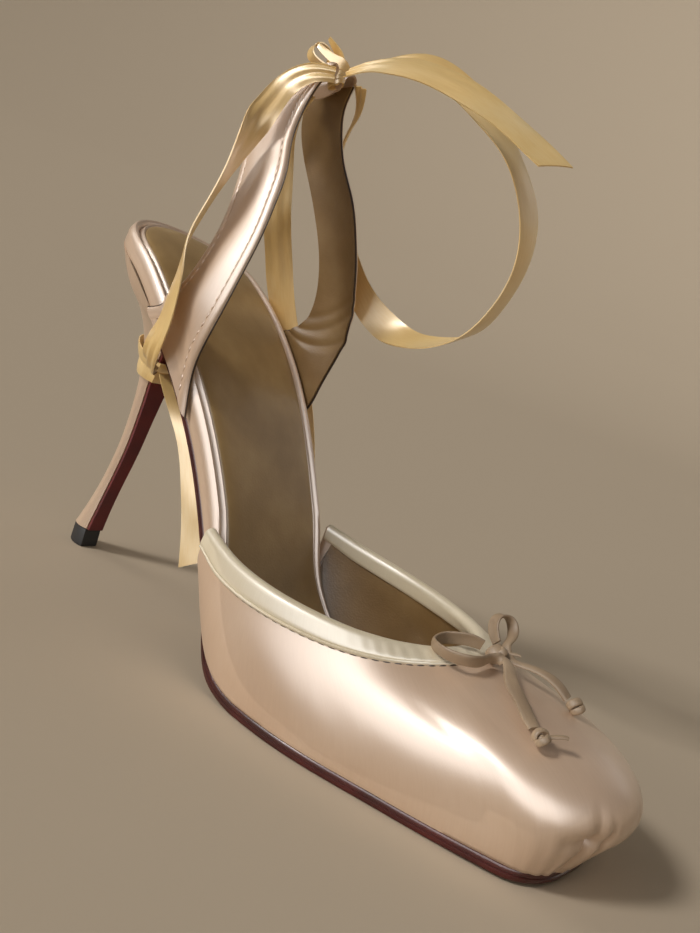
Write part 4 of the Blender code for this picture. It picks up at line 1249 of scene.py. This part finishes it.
def tab_border(inset):
    """How high the satin stands near the tab's edge."""
    return (CORD_HIGH * np.sin(math.pi * np.clip(inset / TAB_BORDER, 0, 1))**0.7
            - EDGE_TURN * (1 - np.clip(inset / EDGE_TURN_WIDE, 0, 1))**2
            - SEAM_DIP * np.exp(-((inset - TAB_BORDER) / SEAM_HALF)**2))


def tip_rows(side, j, face, out):
    """Extra rows past the tip: on, round a roll, and down inside, most in the middle."""
    climb = unit(face[-1] - face[-4])
    rows = [face[-1] + TIP_REACH[side] * k * climb for k in (0.33, 0.67, 1.0)]
    rows += [rows[-1] + TIP_ROLL[side] * ((math.cos(a) - 1) * out[-1] + math.sin(a) * climb)
             for a in np.radians(np.arange(12, 181, 12))]
    drop = TIP_DROP[side] * (0.5 + 0.5 * np.sin(math.pi * np.clip(j, 0, 1)))[:, None]
    return rows + [rows[-1] - k * drop * climb for k in (0.25, 0.5, 0.75, 1.0)]


def tab_layer(name, side, wider, depth, material):
    """A plain layer of a tab, wider than the satin by a share of its width on each side."""
    grid, _ = tab_grid(side, np.linspace(-wider, 1 + wider, TAB_COLUMNS), depth)
    return dress(sheet(name, grid, TAB_LAYER), material, "sock_leather")


def tab_pieces(side, word):
    """One tab: satin, painted edge, lining and thread."""
    steps = np.array(BORDER_STEPS) / TAB_WIDE
    plain = np.linspace(steps[-1], 1 - steps[-1], PLAIN_COLUMNS)[1:-1]
    j = np.concatenate([steps, plain, 1 - steps[::-1]])
    face, out = tab_grid(side, j, TAB_SATIN + tab_border(np.minimum(j, 1 - j) * TAB_WIDE))
    satin_side = sheet("ankle_tab_satin_" + word,
                       np.concatenate([face, tip_rows(side, j, face, out)]),
                       TAB_SATIN_THICK, angle=60)
    dress(satin_side, peach_satin, "satin", "ankle_tab_" + word)
    painted = tab_layer("ankle_tab_edge_" + word, side, TAB_EDGE_OUT, TAB_EDGE, edge_paint)
    backing = tab_layer("ankle_tab_lining_" + word, side, TAB_BACK_OUT, TAB_BACK,
                        lining_leather)
    seam = BORDER_STEPS.index(TAB_BORDER)
    sewn = slice(THREAD_FROM, THREAD_TO)
    thread = join("ankle_tab_stitches_" + word, [
        stitches("tab_stitch", face[sewn, k] + THREAD_OUT * out[sewn, k], out[sewn, k])
        for k in (seam, -1 - seam)])
    dress(thread, peach_satin, "satin")
    pieces = satin_side, painted, backing, thread
    print("tab %s: %d triangles" % (word, sum(map(triangles, pieces))))


tab_pieces(-1, "outer")
tab_pieces(1, "inner")


# %% [markdown]
# ## The ribbon
# One length of 9 mm double-faced satin ribbon ties the two tabs. It is a thin flat band that
# bends freely across its face and hardly at all across its edge. A curve with a flat bevel
# would twist by itself, so each run is a strip along a smooth line with its own width
# direction. Where it goes into the knot the same cloth is squeezed into folds, whose height
# follows from the width that has to be taken up.
# %% Ribbon strips
RIBBON_WIDE = 9.0
RIBBON_THICK = 0.34
RIBBON_STEP = 1.2       # between a strip's cross-sections
RIBBON_COLUMNS = 25
RIBBON_FOLDS = 2        # folds across it where it is squeezed
RIBBON_CUT = 10         # how far from its end a slanted cut begins
# How far the loose cloth bows across its width, rocks about its line, and bellies along it.
RIBBON_BOW, RIBBON_ROCK, RIBBON_BELLY = 0.30, 0.22, 0.14
# A row of a strip: its middle, its width there, and the direction of its width.
Fold = namedtuple("Fold", "along across up width wide_x wide_y wide_z")


def ribbon_grid(folds, step=RIBBON_STEP, slant=0.0, gather=0.35):
    """A ribbon's surface and its line; slant cuts the end, gather is how much of the
    squeezed cloth stands up in folds and isn't laid flat."""
    rows = smooth_line(folds, step)
    line, width = rows[:, :3], rows[:, 3][:, None]
    ahead, across, face = frames_along(line, rows[:, 4:])
    run = run_of(line)[:, None]
    t = np.linspace(-1, 1, RIBBON_COLUMNS)[None]
    taken_up = np.maximum((RIBBON_WIDE / np.maximum(width, 3.0))**2 - 1, 0)
    high = gather * width / (2 * math.pi * RIBBON_FOLDS) * np.sqrt(2 * taken_up)
    wave = np.cos(math.pi * RIBBON_FOLDS * (t + 1) * (1 + 0.12 * t) + 0.25 * np.sin(run * 0.4))
    bend = high * 0.8 * np.arcsin(0.97 * wave)
    loose = (RIBBON_BOW * (1 - t * t) + RIBBON_ROCK * t * np.sin(run * 0.19)
             + RIBBON_BELLY * (1 - t * t) * np.sin(run * 0.31 + 1)
             ) * np.clip(width / RIBBON_WIDE, 0, 1)
    push = slant * t * ease(run[-1] - RIBBON_CUT, run[-1], run)
    return (line[:, None] + (width / 2 * t)[..., None] * across[:, None]
            + (bend + loose)[..., None] * face[:, None] + push[..., None] * ahead[:, None]), line


def ribbon_strip(name, folds, **settings):
    """A run of ribbon that stands for the CAD node of its name; returns it and its line."""
    grid, line = ribbon_grid(folds, **settings)
    strip = sheet(name + "_satin", grid, RIBBON_THICK, angle=70)
    dress(strip, ribbon_satin, "ribbon", name)
    return strip, line


RIBBONS = {
    "ribbon_loop": (
        Fold(56.8, 1.0, 165.2, 4.0, 0.1, 1.0, 0.3),
        Fold(64.0, 3.4, 168.8, 6.0, 0.0, 0.8, 0.65),
        Fold(73.0, 6.0, 171.2, 9.0, 0.0, 0.65, 0.8),
        Fold(85.0, 8.0, 168.8, 9.0, 0.05, 0.65, 0.8),
        Fold(98.0, 11.0, 161.7, 9.0, 0.1, 0.85, 0.55),
        Fold(109.6, 14.0, 151.6, 9.0, 0.1, 1.0, 0.15),
        Fold(116.2, 17.0, 140.5, 9.0, 0.0, 1.0, 0.1),
        Fold(117.3, 20.0, 127.9, 9.0, -0.1, 1.0, 0.0),
        Fold(113.6, 22.0, 116.0, 9.0, -0.2, 1.0, 0.1),
        Fold(107.2, 24.0, 107.2, 9.0, -0.2, 1.0, 0.2),
        Fold(96.5, 25.5, 101.6, 9.0, -0.1, 0.9, 0.4),
        Fold(83.5, 27.5, 99.5, 9.0, 0.1, 0.7, 0.7),
        Fold(71.5, 29.0, 102.0, 9.0, 0.4, 0.2, 0.9),
        Fold(61.0, 29.2, 108.0, 9.0, 0.8, 0.0, 0.5),
        Fold(52.0, 26.0, 119.5, 8.0, 1.0, 0.0, 0.3),
        Fold(47.0, 20.8, 134.0, 6.5, 0.8, -0.5, 0.2),
        Fold(48.0, 15.6, 147.5, 5.0, 0.65, -0.75, 0.1),
        Fold(52.8, 11.6, 155.4, 4.5, 0.7, -0.55, 0.0),
        Fold(56.2, 5.4, 161.8, 4.0, 0.6, 0.6, -0.4),
    ),
    "ribbon_short_end": (
        Fold(57.2, -2.6, 162.8, 3.6, -0.5, 0.6, 0.6),
        Fold(65.0, -4.4, 165.0, 6.0, -0.6, 0.65, 0.5),
        Fold(75.0, -5.2, 166.6, 9.0, -0.3, 0.65, 0.65),
        Fold(88.9, -5.8, 165.8, 9.0, -0.25, 0.65, 0.7),
        Fold(103.8, -6.2, 162.2, 9.0, -0.2, 0.68, 0.68),
        Fold(118.8, -6.6, 156.6, 9.0, -0.2, 0.75, 0.6),
        Fold(132.2, -7.0, 150.4, 9.0, -0.2, 0.8, 0.55),
    ),
    "ribbon_outer": (
        Fold(55.6, -5.4, 161.2, 4.0, 0.2, 0.3, 1.0),
        Fold(52.2, -9.8, 159.8, 5.2, -0.3, -0.15, 0.94),
        Fold(47.2, -13.0, 154.8, 6.6, -0.75, -0.45, 0.45),
        Fold(47.6, -17.8, 147.4, 7.4, -0.8, -0.55, 0.25),
        Fold(48.8, -22.0, 139.6, 8.4, -0.1, -0.9, 0.25),
        Fold(49.6, -26.5, 127.3, 9.0, 0.55, -0.8, 0.2),
        Fold(48.0, -30.0, 112.5, 9.0, 0.6, -0.75, 0.1),
        Fold(48.4, -32.0, 104.5, 9.0, 0.7, -0.65, 0.2),
        Fold(49.0, -31.8, 97.0, 9.0, 0.8, -0.5, 0.25),
        Fold(49.2, -31.8, 89.8, 9.0, 0.85, -0.42, 0.3),
        Fold(49.0, -31.8, 82.4, 9.0, 0.88, -0.38, 0.2),
        Fold(47.0, -31.2, 75.6, 7.0, 0.9, -0.1, -0.2),
        Fold(42.0, -26.2, 69.8, 6.0, 0.6, 0.4, -0.7),
        Fold(35.6, -18.4, 68.0, 5.0, 0.4, 0.4, -0.8),
        Fold(29.6, -11.4, 67.4, 4.5, 0.2, 0.2, -1.0),
    ),
    "ribbon_inner": (
        Fold(45.4, -1.8, 156.4, 4.0, 0.7, 0.5, -0.4),
        Fold(40.6, -0.8, 150.4, 5.5, 0.7, 0.5, 0.0),
        Fold(37.4, 1.8, 143.4, 6.5, 0.7, 0.5, 0.3),
        Fold(35.4, 5.6, 136.0, 8.0, 0.75, 0.6, 0.3),
        Fold(34.2, 11.0, 126.0, 8.5, 0.5, 0.6, -0.3),
        Fold(32.6, 16.0, 118.5, 8.5, 0.3, 0.6, -0.2),
        Fold(32.2, 21.0, 110.5, 8.5, 0.7, 0.6, 0.2),
        Fold(33.0, 26.6, 99.7, 9.0, 0.9, 0.4, 0.2),
        Fold(38.0, 31.4, 86.3, 9.0, 1.0, 0.2, 0.3),
        Fold(46.0, 32.8, 74.6, 9.0, 1.0, 0.1, 0.5),
        Fold(54.6, 32.0, 63.4, 9.0, 1.0, 0.0, 0.5),
        Fold(60.6, 31.0, 52.6, 9.0, 1.0, 0.0, 0.5),
        Fold(66.4, 30.0, 41.2, 9.0, 1.0, 0.0, 0.5),
    ),
    "ribbon_tail": (
        Fold(26.9, -2.4, 64.4, 9.0, 0.1, 1.0, 0.0),
        Fold(34.5, -2.4, 58.6, 9.0, 0.5, 0.8, 0.2),
        Fold(43.0, -1.6, 49.4, 9.0, 0.8, 0.5, 0.3),
        Fold(49.8, -0.8, 36.8, 9.0, 0.8, 0.5, 0.3),
        Fold(54.2, 0.0, 26.0, 9.0, 0.8, 0.5, 0.3),
        Fold(57.6, 0.8, 14.6, 9.0, 0.8, 0.5, 0.3),
    ),
}
SLANTS = {"ribbon_short_end": 1.2, "ribbon_tail": -1.5, "ribbon_inner": 1.0}
ribbons = {name: ribbon_strip(name, folds, slant=SLANTS.get(name, 0.0))
           for name, folds in RIBBONS.items()}
for name, (strip, line) in ribbons.items():
    print("%s: %.0f mm, %d triangles" % (name, run_of(line)[-1], triangles(strip)))

# %% [markdown]
# ### The turn round the heel
# The ribbon goes once round the narrow neck of the heel. It lies doubled over along its upper
# part, where the start of the turn is caught under its end. Shrink-wrapping a band on the
# heel would do; the heel's own slices, taken a little larger, follow it as closely.
# %% Turn round the heel's neck
WRAP_LOW, WRAP_HIGH = 62.4, 73.0        # above the floor
WRAP_STEPS = 22
WRAP_FRONT = 12         # points across the flat front
WRAP_SIDES = 3 * GAP    # the cloth's middle, out from the satin,
WRAP_BREAST = COVER + 4 * GAP           # and out from the breast
WRAP_OUT = 0.2          # both, before the layers' own thickness
DOUBLED = 0.42          # the second layer's thickness, over the upper part,
NIP = 0.18              # the groove where it starts,
SWELL = 0.14            # and how the cloth bellies between the two


def wrap_ring(height, out):
    """A ring of the turn round the heel's neck, out from the satin, closed at the front."""
    slices = [spline(column(HEEL, "back_up"), column(HEEL, name))(height)
              for name in Slice._fields]
    ring = heel_ring(Slice(*slices))
    run = np.gradient(ring, axis=0)
    beside = unit(np.stack([-run[:, 1], run[:, 0], 0 * run[:, 0]], -1))
    ring = ring + (WRAP_SIDES + out) * beside
    ring[[0, -1], 0] += WRAP_BREAST + out
    front = ring[-1] + (ring[0] - ring[-1]) * np.linspace(0, 1, WRAP_FRONT)[1:, None]
    return np.concatenate([ring, front])


share = np.linspace(0, 1, WRAP_STEPS + 1)
layers = (DOUBLED * ease(0.52, 0.58, share) - NIP * np.exp(-((share - 0.5) / 0.04)**2)
          + SWELL * np.sin(math.pi * share * 3))
wrap = grid_piece("ribbon_heel_wrap_satin", np.array([
    wrap_ring(height, WRAP_OUT + thicker)
    for height, thicker in zip(WRAP_LOW + (WRAP_HIGH - WRAP_LOW) * share, layers)]))
close_up(wrap, ends=False)
add_modifier(wrap, "SOLIDIFY", thickness=RIBBON_THICK * MM, offset=0.0)
smooth(wrap, 70)
dress(wrap, ribbon_satin, "ribbon", "ribbon_heel_wrap")
print("heel wrap:", triangles(wrap), "triangles")

# %% [markdown]
# ### The knot
# The knot holds the two tab tips. It is the ribbon itself: a small standing loop, a pointed
# end, a band across them and two turns pulled tight. A sculpted lump would be easier, but
# only real strips show where one goes under the other. Each is drawn in the knot's own axes,
# to the side, up and towards the front.
# %% Ribbon knot
RIBBON_KNOT = (51.4, -0.4, 162.4)
knot_axes = np.array([right, up, back])
# Rows of the loop, the band and the end: place, width, and the width's direction.
KNOT_STRIPS = (
    ((-2.2, 1.6, 0.2, 3.6, 0.3, -0.1, 0.95), (-5.0, 3.4, 0.6, 4.6, 0.3, -0.15, 0.95),
     (-6.8, 5.2, 0.6, 5.2, 0.3, -0.15, 0.95), (-6.9, 7.2, 0.2, 5.4, 0.3, -0.15, 0.95),
     (-5.4, 8.9, -0.4, 5.2, 0.3, -0.15, 0.95), (-3.4, 8.2, -1.0, 5.0, 0.3, -0.1, 0.95),
     (-1.6, 5.6, -1.2, 4.6, 0.3, 0.0, 0.95), (0.4, 2.6, -0.6, 4.0, 0.3, 0.0, 0.95)),
    ((-5.4, 8.3, 1.6, 1.2, 0.55, 0.8, -0.1), (-4.4, 7.0, 2.2, 1.6, 0.6, 0.75, -0.1),
     (-2.4, 4.9, 2.7, 2.1, 0.6, 0.75, 0.0), (-0.4, 3.3, 2.9, 2.6, 0.5, 0.85, 0.0),
     (1.6, 2.0, 2.3, 3.3, 0.35, 0.9, 0.2), (2.6, 0.4, 0.9, 3.4, 0.2, 0.9, 0.4)),
    ((1.6, 2.6, -0.4, 3.2, 0.6, 0.1, 0.8), (1.0, 5.6, -0.6, 3.2, 0.5, 0.1, 0.85),
     (-0.4, 8.2, -0.8, 2.6, 0.45, 0.1, 0.85), (-1.9, 10.8, -1.0, 1.2, 0.45, 0.1, 0.85)),
)
# The tight turns: their height, how much they tilt, their reach to the side and towards the
# front, and the ribbon's width in them.
KnotTurn = namedtuple("KnotTurn", "height tilt side front width")
KNOT_TURNS = (KnotTurn(0.6, -0.45, 2.4, 2.3, 4.4), KnotTurn(-1.3, 0.25, 2.5, 2.4, 3.8))
KNOT_CORE = (1.8, 2.9, 1.8)


def knot_row(r, u, b, width, wide_r, wide_u, wide_b):
    """A row in the knot's axes, as a row in the shoe's."""
    return Fold(*(np.array(RIBBON_KNOT) + np.array((r, u, b)) @ knot_axes), width,
                *(np.array((wide_r, wide_u, wide_b)) @ knot_axes))


def ball(name, centre, radii, axes):
    """A rounded core of a knot."""
    turn = np.linspace(0, 2 * math.pi, 25)[:-1]
    fall = np.linspace(0.06, math.pi - 0.06, 13)[:, None]
    local = np.stack([radii[0] * np.sin(fall) * np.cos(turn),
                      radii[1] * np.cos(fall) + 0 * turn,
                      radii[2] * np.sin(fall) * np.sin(turn)], -1)
    return tube(name, np.array(centre) + local @ axes, angle=70)


parts = [ball("ribbon_knot_core", RIBBON_KNOT, KNOT_CORE, knot_axes)]
for rows in KNOT_STRIPS:
    grid, _ = ribbon_grid([knot_row(*row) for row in rows], step=0.35, gather=0.0)
    parts.append(sheet("ribbon_knot_strip", grid, RIBBON_THICK, angle=70))
for turn in KNOT_TURNS:
    rows = [knot_row(turn.side * math.cos(a), turn.height + turn.tilt * turn.side * math.cos(a),
                     turn.front * math.sin(a), turn.width, 0.15 * math.cos(a), 1.0, 0.0)
            for a in np.linspace(0, 2 * math.pi, 13)]
    grid, _ = ribbon_grid(rows, step=0.4, gather=0.12)
    parts.append(sheet("ribbon_knot_turn", grid, RIBBON_THICK, angle=70))
ribbon_knot = join("ribbon_knot_folds", parts)
dress(ribbon_knot, ribbon_satin, "ribbon", "ribbon_knot")
print("ribbon knot:", triangles(ribbon_knot), "triangles")

# %% [markdown] ### The ribbon's free runs A limp ribbon hangs differently each time
# that the shoe is put down.
FAR_END = {"ribbon_loop": "object", "ribbon_outer": "object"}
ON_IT = {"ribbon_loop": [ribbon_knot], "ribbon_outer": [wrap]}
for name, (strip, line) in ribbons.items():
    route = placed(line)
    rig.cord(strip, exit=route[0], length=run_of(line)[-1] * MM, diameter=RIBBON_WIDE * MM,
            far_end=FAR_END.get(name, "bare"), stiffness="limp", path=route[::2],
            with_pieces=ON_IT.get(name, ()))
print("ribbon: %.0f mm in all" % sum(run_of(line)[-1] for strip, line in ribbons.values()))


# %% [markdown]
# ## The bow
# The bow at the throat is a narrow leather lace, about 3.6 mm wide and 0.9 mm thick with its
# edges rounded by wear. It is tied in two loops with a turn across the middle; both ends have
# an overhand knot. A bevelled curve can't be told how to turn its flat side, so the lace is
# drawn as rounded cross-sections along a line, each with its own width direction.
# %% Leather lace
LACE = 0.9
LACE_WIDE = 3.6
LACE_ROUND = 20         # points round a cross-section
LACE_STEP = 0.5         # between cross-sections
LACE_CURL = 0.3         # how far its face is hollowed,
TURN_CURL = 0.12        # and in a tight turn


def lace_rings(rows, thick=LACE, curl=LACE_CURL):
    """Rounded cross-sections along a lace's line; curl hollows its face a little."""
    rows = smooth_line(rows, LACE_STEP)
    ahead, across, face = frames_along(rows[:, :3], rows[:, 4:])
    turn = np.linspace(0, 2 * math.pi, LACE_ROUND + 1)[:-1]
    flat = np.sign(np.cos(turn)) * np.abs(np.cos(turn))**0.55
    deep = np.sign(np.sin(turn)) * np.abs(np.sin(turn))**0.75
    wide = rows[:, 3:4] / 2 * flat
    lift = thick / 2 * deep - curl * flat**2 + 0.5 * curl
    return (rows[:, None, :3] + wide[..., None] * across[:, None]
            + lift[..., None] * face[:, None]), rows[:, :3]


LACES = {
    "bow_lace_outer": (
        Fold(157.0, -2.8, 38.9, 3.0, 0.1, -0.3, 1.0),
        Fold(154.6, -4.6, 39.1, 3.6, 0.1, -0.3, 1.0),
        Fold(151.8, -6.8, 38.5, 3.6, 0.1, -0.3, 1.0),
        Fold(149.4, -9.2, 37.5, 3.6, 0.1, -0.3, 1.0),
        Fold(149.2, -12.0, 36.5, 3.6, 0.1, -0.5, 1.0),
        Fold(151.6, -14.0, 36.3, 3.8, 0.1, -0.6, 0.9),
        Fold(156.2, -14.6, 36.5, 4.0, 0.1, -0.6, 0.9),
        Fold(160.0, -12.0, 36.9, 4.0, 0.2, -0.6, 0.9),
        Fold(161.0, -7.8, 37.1, 3.6, 0.2, -0.5, 0.9),
        Fold(161.4, -4.6, 37.7, 3.0, 0.2, -0.3, 1.0),
        Fold(163.8, -2.8, 38.2, 3.2, 0.5, 0.8, 0.1),
        Fold(168.2, -6.2, 36.4, 3.4, 0.5, 0.8, 0.2),
        Fold(173.2, -9.6, 34.6, 3.4, 0.5, 0.8, 0.2),
        Fold(178.2, -12.8, 32.8, 3.4, 0.5, 0.8, 0.2),
        Fold(181.2, -14.6, 31.8, 3.0, 0.5, 0.8, 0.2),
    ),
    "bow_lace_inner": (
        Fold(158.4, 1.4, 39.9, 2.6, 0.9, -0.2, 0.5),
        Fold(156.0, 2.2, 42.2, 3.2, 0.9, -0.2, 0.5),
        Fold(155.0, 3.8, 44.8, 3.4, 0.9, -0.3, 0.4),
        Fold(156.2, 6.4, 45.4, 3.4, 0.9, -0.3, 0.3),
        Fold(158.4, 7.0, 43.4, 3.4, 0.9, -0.2, 0.4),
        Fold(160.0, 4.6, 41.2, 3.0, 0.9, -0.2, 0.5),
        Fold(160.6, 2.2, 39.9, 2.6, 0.9, -0.1, 0.5),
        Fold(163.8, 1.0, 38.0, 2.8, 0.3, 0.9, 0.1),
        Fold(167.8, 2.0, 38.2, 3.2, 0.3, 0.9, 0.1),
        Fold(171.6, 3.0, 38.4, 3.2, 0.3, 0.9, 0.1),
        Fold(175.4, 4.2, 37.4, 3.2, 0.3, 0.9, 0.1),
        Fold(178.6, 5.2, 35.2, 2.8, 0.3, 0.9, 0.1),
    ),
}
BOW_NODES = {"bow_lace_outer": ("bow_loop_outer", "bow_end_outer"),
             "bow_lace_inner": ("bow_loop_inner", "bow_end_inner")}
laces = {}
for name, rows in LACES.items():
    rings, line = lace_rings(rows)
    laces[name] = (dress(tube(name, rings, angle=60), bow_leather, "bow_leather",
                         *BOW_NODES[name]), line)
    print("%s: %.0f mm, %d triangles" % (name, run_of(line)[-1], triangles(laces[name][0])))


# %% [markdown]
# ### The bow's knots
# Each knot is turns of the same lace pulled tight round a hidden core. Tying it for real
# would need a simulation; a core and two or three turns set across each other look the same
# from every side. A turn that isn't closed is the lace's cut end, which sticks out.
# %% The bow's knots
def turn_of_lace(centre, first, second, reach, width, thick=LACE, span=1.0):
    """One turn of lace round a centre; first and second are the turn's two directions,
    reach how far it goes along each, and span how much of a whole turn it makes."""
    first, second = unit(np.array(first, float)), unit(np.array(second, float))
    rows = [Fold(*(np.array(centre) + reach[0] * math.cos(a) * first
                   + reach[1] * math.sin(a) * second), width, *np.cross(first, second))
            for a in np.linspace(0, 2 * math.pi * span, 13)]
    return lace_rings(rows, thick, curl=TURN_CURL)[0]


def lace_knot(name, replaced, core, turns):
    """A knot of lace: a hidden core and the turns round it, as one piece."""
    parts = [ball(name + "_core", *core, np.eye(3))]
    parts += [tube(name + "_turn", turn_of_lace(*turn), angle=60) for turn in turns]
    return dress(join(name, parts), bow_leather, "bow_leather", replaced)


BOW_KNOT = (160.2, -0.8, 37.9)
bow_knot = lace_knot("bow_knot_turns", "bow_knot", (BOW_KNOT, (1.5, 1.3, 1.2)), (
    (BOW_KNOT, (0.35, 0.8, 0.45), (0.2, -0.5, 0.85), (2.1, 1.9), 3.0, 0.8),
    ((160.6, -1.0, 38.0), (-0.7, 0.6, -0.4), (0.45, 0.3, 0.85), (2.2, 2.0), 2.0, 0.8),
    ((162.6, 1.6, 38.6), (0.74, 0.59, 0.20), (-0.3, 0.1, 0.9), (2.6, 0.3), 1.4, 0.7, 0.45)))
OUTER_END, INNER_END = (183.8, -15.8, 31.2), (181.0, 5.8, 34.3)
outer_end_knot = lace_knot("bow_end_outer_turns", "bow_end_outer_knot",
                           (OUTER_END, (1.0, 1.0, 0.9)), (
    ((183.2, -15.4, 31.4), (0.45, 0.85, 0.1), (-0.2, 0.1, 0.95), (1.6, 1.35), 1.9, 0.85),
    ((184.4, -16.1, 31.0), (0.6, -0.3, 0.6), (0.1, 0.9, 0.3), (1.5, 1.4), 1.7, 0.8),
    ((186.2, -13.9, 32.2), (0.74, 0.59, 0.33), (-0.3, -0.1, 0.9), (2.6, 0.35), 1.6, 0.7, 0.45)))
inner_end_knot = lace_knot("bow_end_inner_turns", "bow_end_inner_knot",
                           (INNER_END, (1.0, 1.0, 0.9)), (
    ((180.5, 5.6, 34.7), (0.2, 0.9, 0.0), (0.5, 0.0, 0.85), (1.6, 1.4), 2.0, 0.85),
    ((181.4, 6.0, 33.8), (0.7, 0.2, 0.6), (-0.3, 0.9, 0.1), (1.5, 1.4), 1.8, 0.8)))
for (name, (lace, line)), knots in zip(laces.items(), ((bow_knot, outer_end_knot),
                                                       (inner_end_knot,))):
    route = placed(line)
    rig.cord(lace, exit=route[0], length=run_of(line)[-1] * MM, diameter=LACE_WIDE * MM,
            far_end="bare", stiffness="medium", path=route[::2], with_pieces=knots)
print("bow's knots:", sum(map(triangles, (bow_knot, outer_end_knot, inner_end_knot))),
      "triangles")


# %% [markdown]
# ## Floor and light
# A plain pale floor, matt as a painted sweep, curves up far away on every side, so that each
# view has a background. It casts no shadow itself, or its far rim would hide the low lights.
# %% Floor
FLAT = 1.6              # metres from the shoe to where the floor starts to rise
FLOOR_HALF = 7.0        # half its side
FLOOR_CURVE = 0.10      # how fast it rises,
FLOOR_TOP = 3.0         # and to what height
FLOOR_LINES = 121       # grid lines across it
ticks = np.linspace(-FLOOR_HALF, FLOOR_HALF, FLOOR_LINES)
x, y = np.meshgrid(ticks, ticks)
climb = FLOOR_CURVE * np.maximum(np.hypot(x, y) - FLAT, 0)**2
floor_shape = np.stack([x, y, np.minimum(climb, FLOOR_TOP)], -1)
floor = grid_piece("floor", floor_shape / MM + (TREAD_AT, 0, 0))
smooth(floor, 60)
floor_paint = new_material("matt_floor_paint", Roughness=0.9, Specular_IOR_Level=0.0,
                           Base_Color=linear("#c4b6a2"))[0]
floor.data.materials.clear()
floor.data.materials.append(floor_paint)
floor.visible_shadow = False
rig.stage(floor)
print("floor: %.0f m across" % (2 * FLOOR_HALF))


# %% [markdown]
# ### The lights
# Satin is read by its highlights, so the lights are placed for them. A soft key light stands
# on the outer side, a little behind the shoe and about forty degrees up. A broad low light
# from the same side keeps the flank open, a weak one from behind the seat lifts the heel, and
# the faintest comes from the inner side. A long soft box is seen only as a gleam: it draws
# the white band along the vamp's flank. An even sky of low strength fills the shade.
# %% Lights
def sun_light(name, towards, strength, spread, colour):
    """An even soft light from far away; spread is its apparent size in degrees."""
    place = Vector(towards).normalized()
    bpy.ops.object.light_add(type="SUN", location=place,
                             rotation=(-place).to_track_quat("-Z", "Y").to_euler())
    light = bpy.context.object
    light.name = name
    light.data.energy = strength
    light.data.angle = math.radians(spread)
    light.data.color = linear(colour)[:3]
    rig.stage(light)


def strip_light(name, towards, distance, width, height, power, colour):
    """A long soft box that is seen only as a gleam on shiny cloth."""
    aim = Vector((0.0, 0.0, 0.04))
    place = aim + distance * Vector(towards).normalized()
    bpy.ops.object.light_add(type="AREA", location=place,
                             rotation=(aim - place).to_track_quat("-Z", "Y").to_euler())
    light = bpy.context.object
    light.name = name
    light.data.shape = "RECTANGLE"
    light.data.size, light.data.size_y = width, height
    light.data.energy = power
    light.data.color = linear(colour)[:3]
    light.visible_diffuse = False
    light.visible_camera = False
    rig.stage(light)


sun_light("key_light", (-0.335, -0.698, 0.629), 1.45, 12, "#fffaf4")
sun_light("low_light", (-0.30, -0.95, 0.12), 1.1, 30, "#fffaf4")
sun_light("left_light", (-0.85, -0.25, 0.50), 0.4, 25, "#fff8ee")
sun_light("far_light", (0.25, 0.85, 0.50), 0.15, 30, "#fff8f0")
strip_light("gleam", (0.22, -0.877, 0.43), 1.1, 2.6, 1.05, 32.0, "#ffffff")
world = bpy.data.worlds.new("studio")
world.use_nodes = True
world.node_tree.nodes["Background"].inputs["Color"].default_value = linear("#fff9f2")
world.node_tree.nodes["Background"].inputs["Strength"].default_value = 0.13
bpy.context.scene.world = world
bpy.context.scene.view_settings.view_transform = "Standard"
print("lights:", len(bpy.data.lights))


with open("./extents.json", "w") as file:
    json.dump({"cad": cad_box, "visual": [list(corner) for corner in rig.bounds()]}, file)
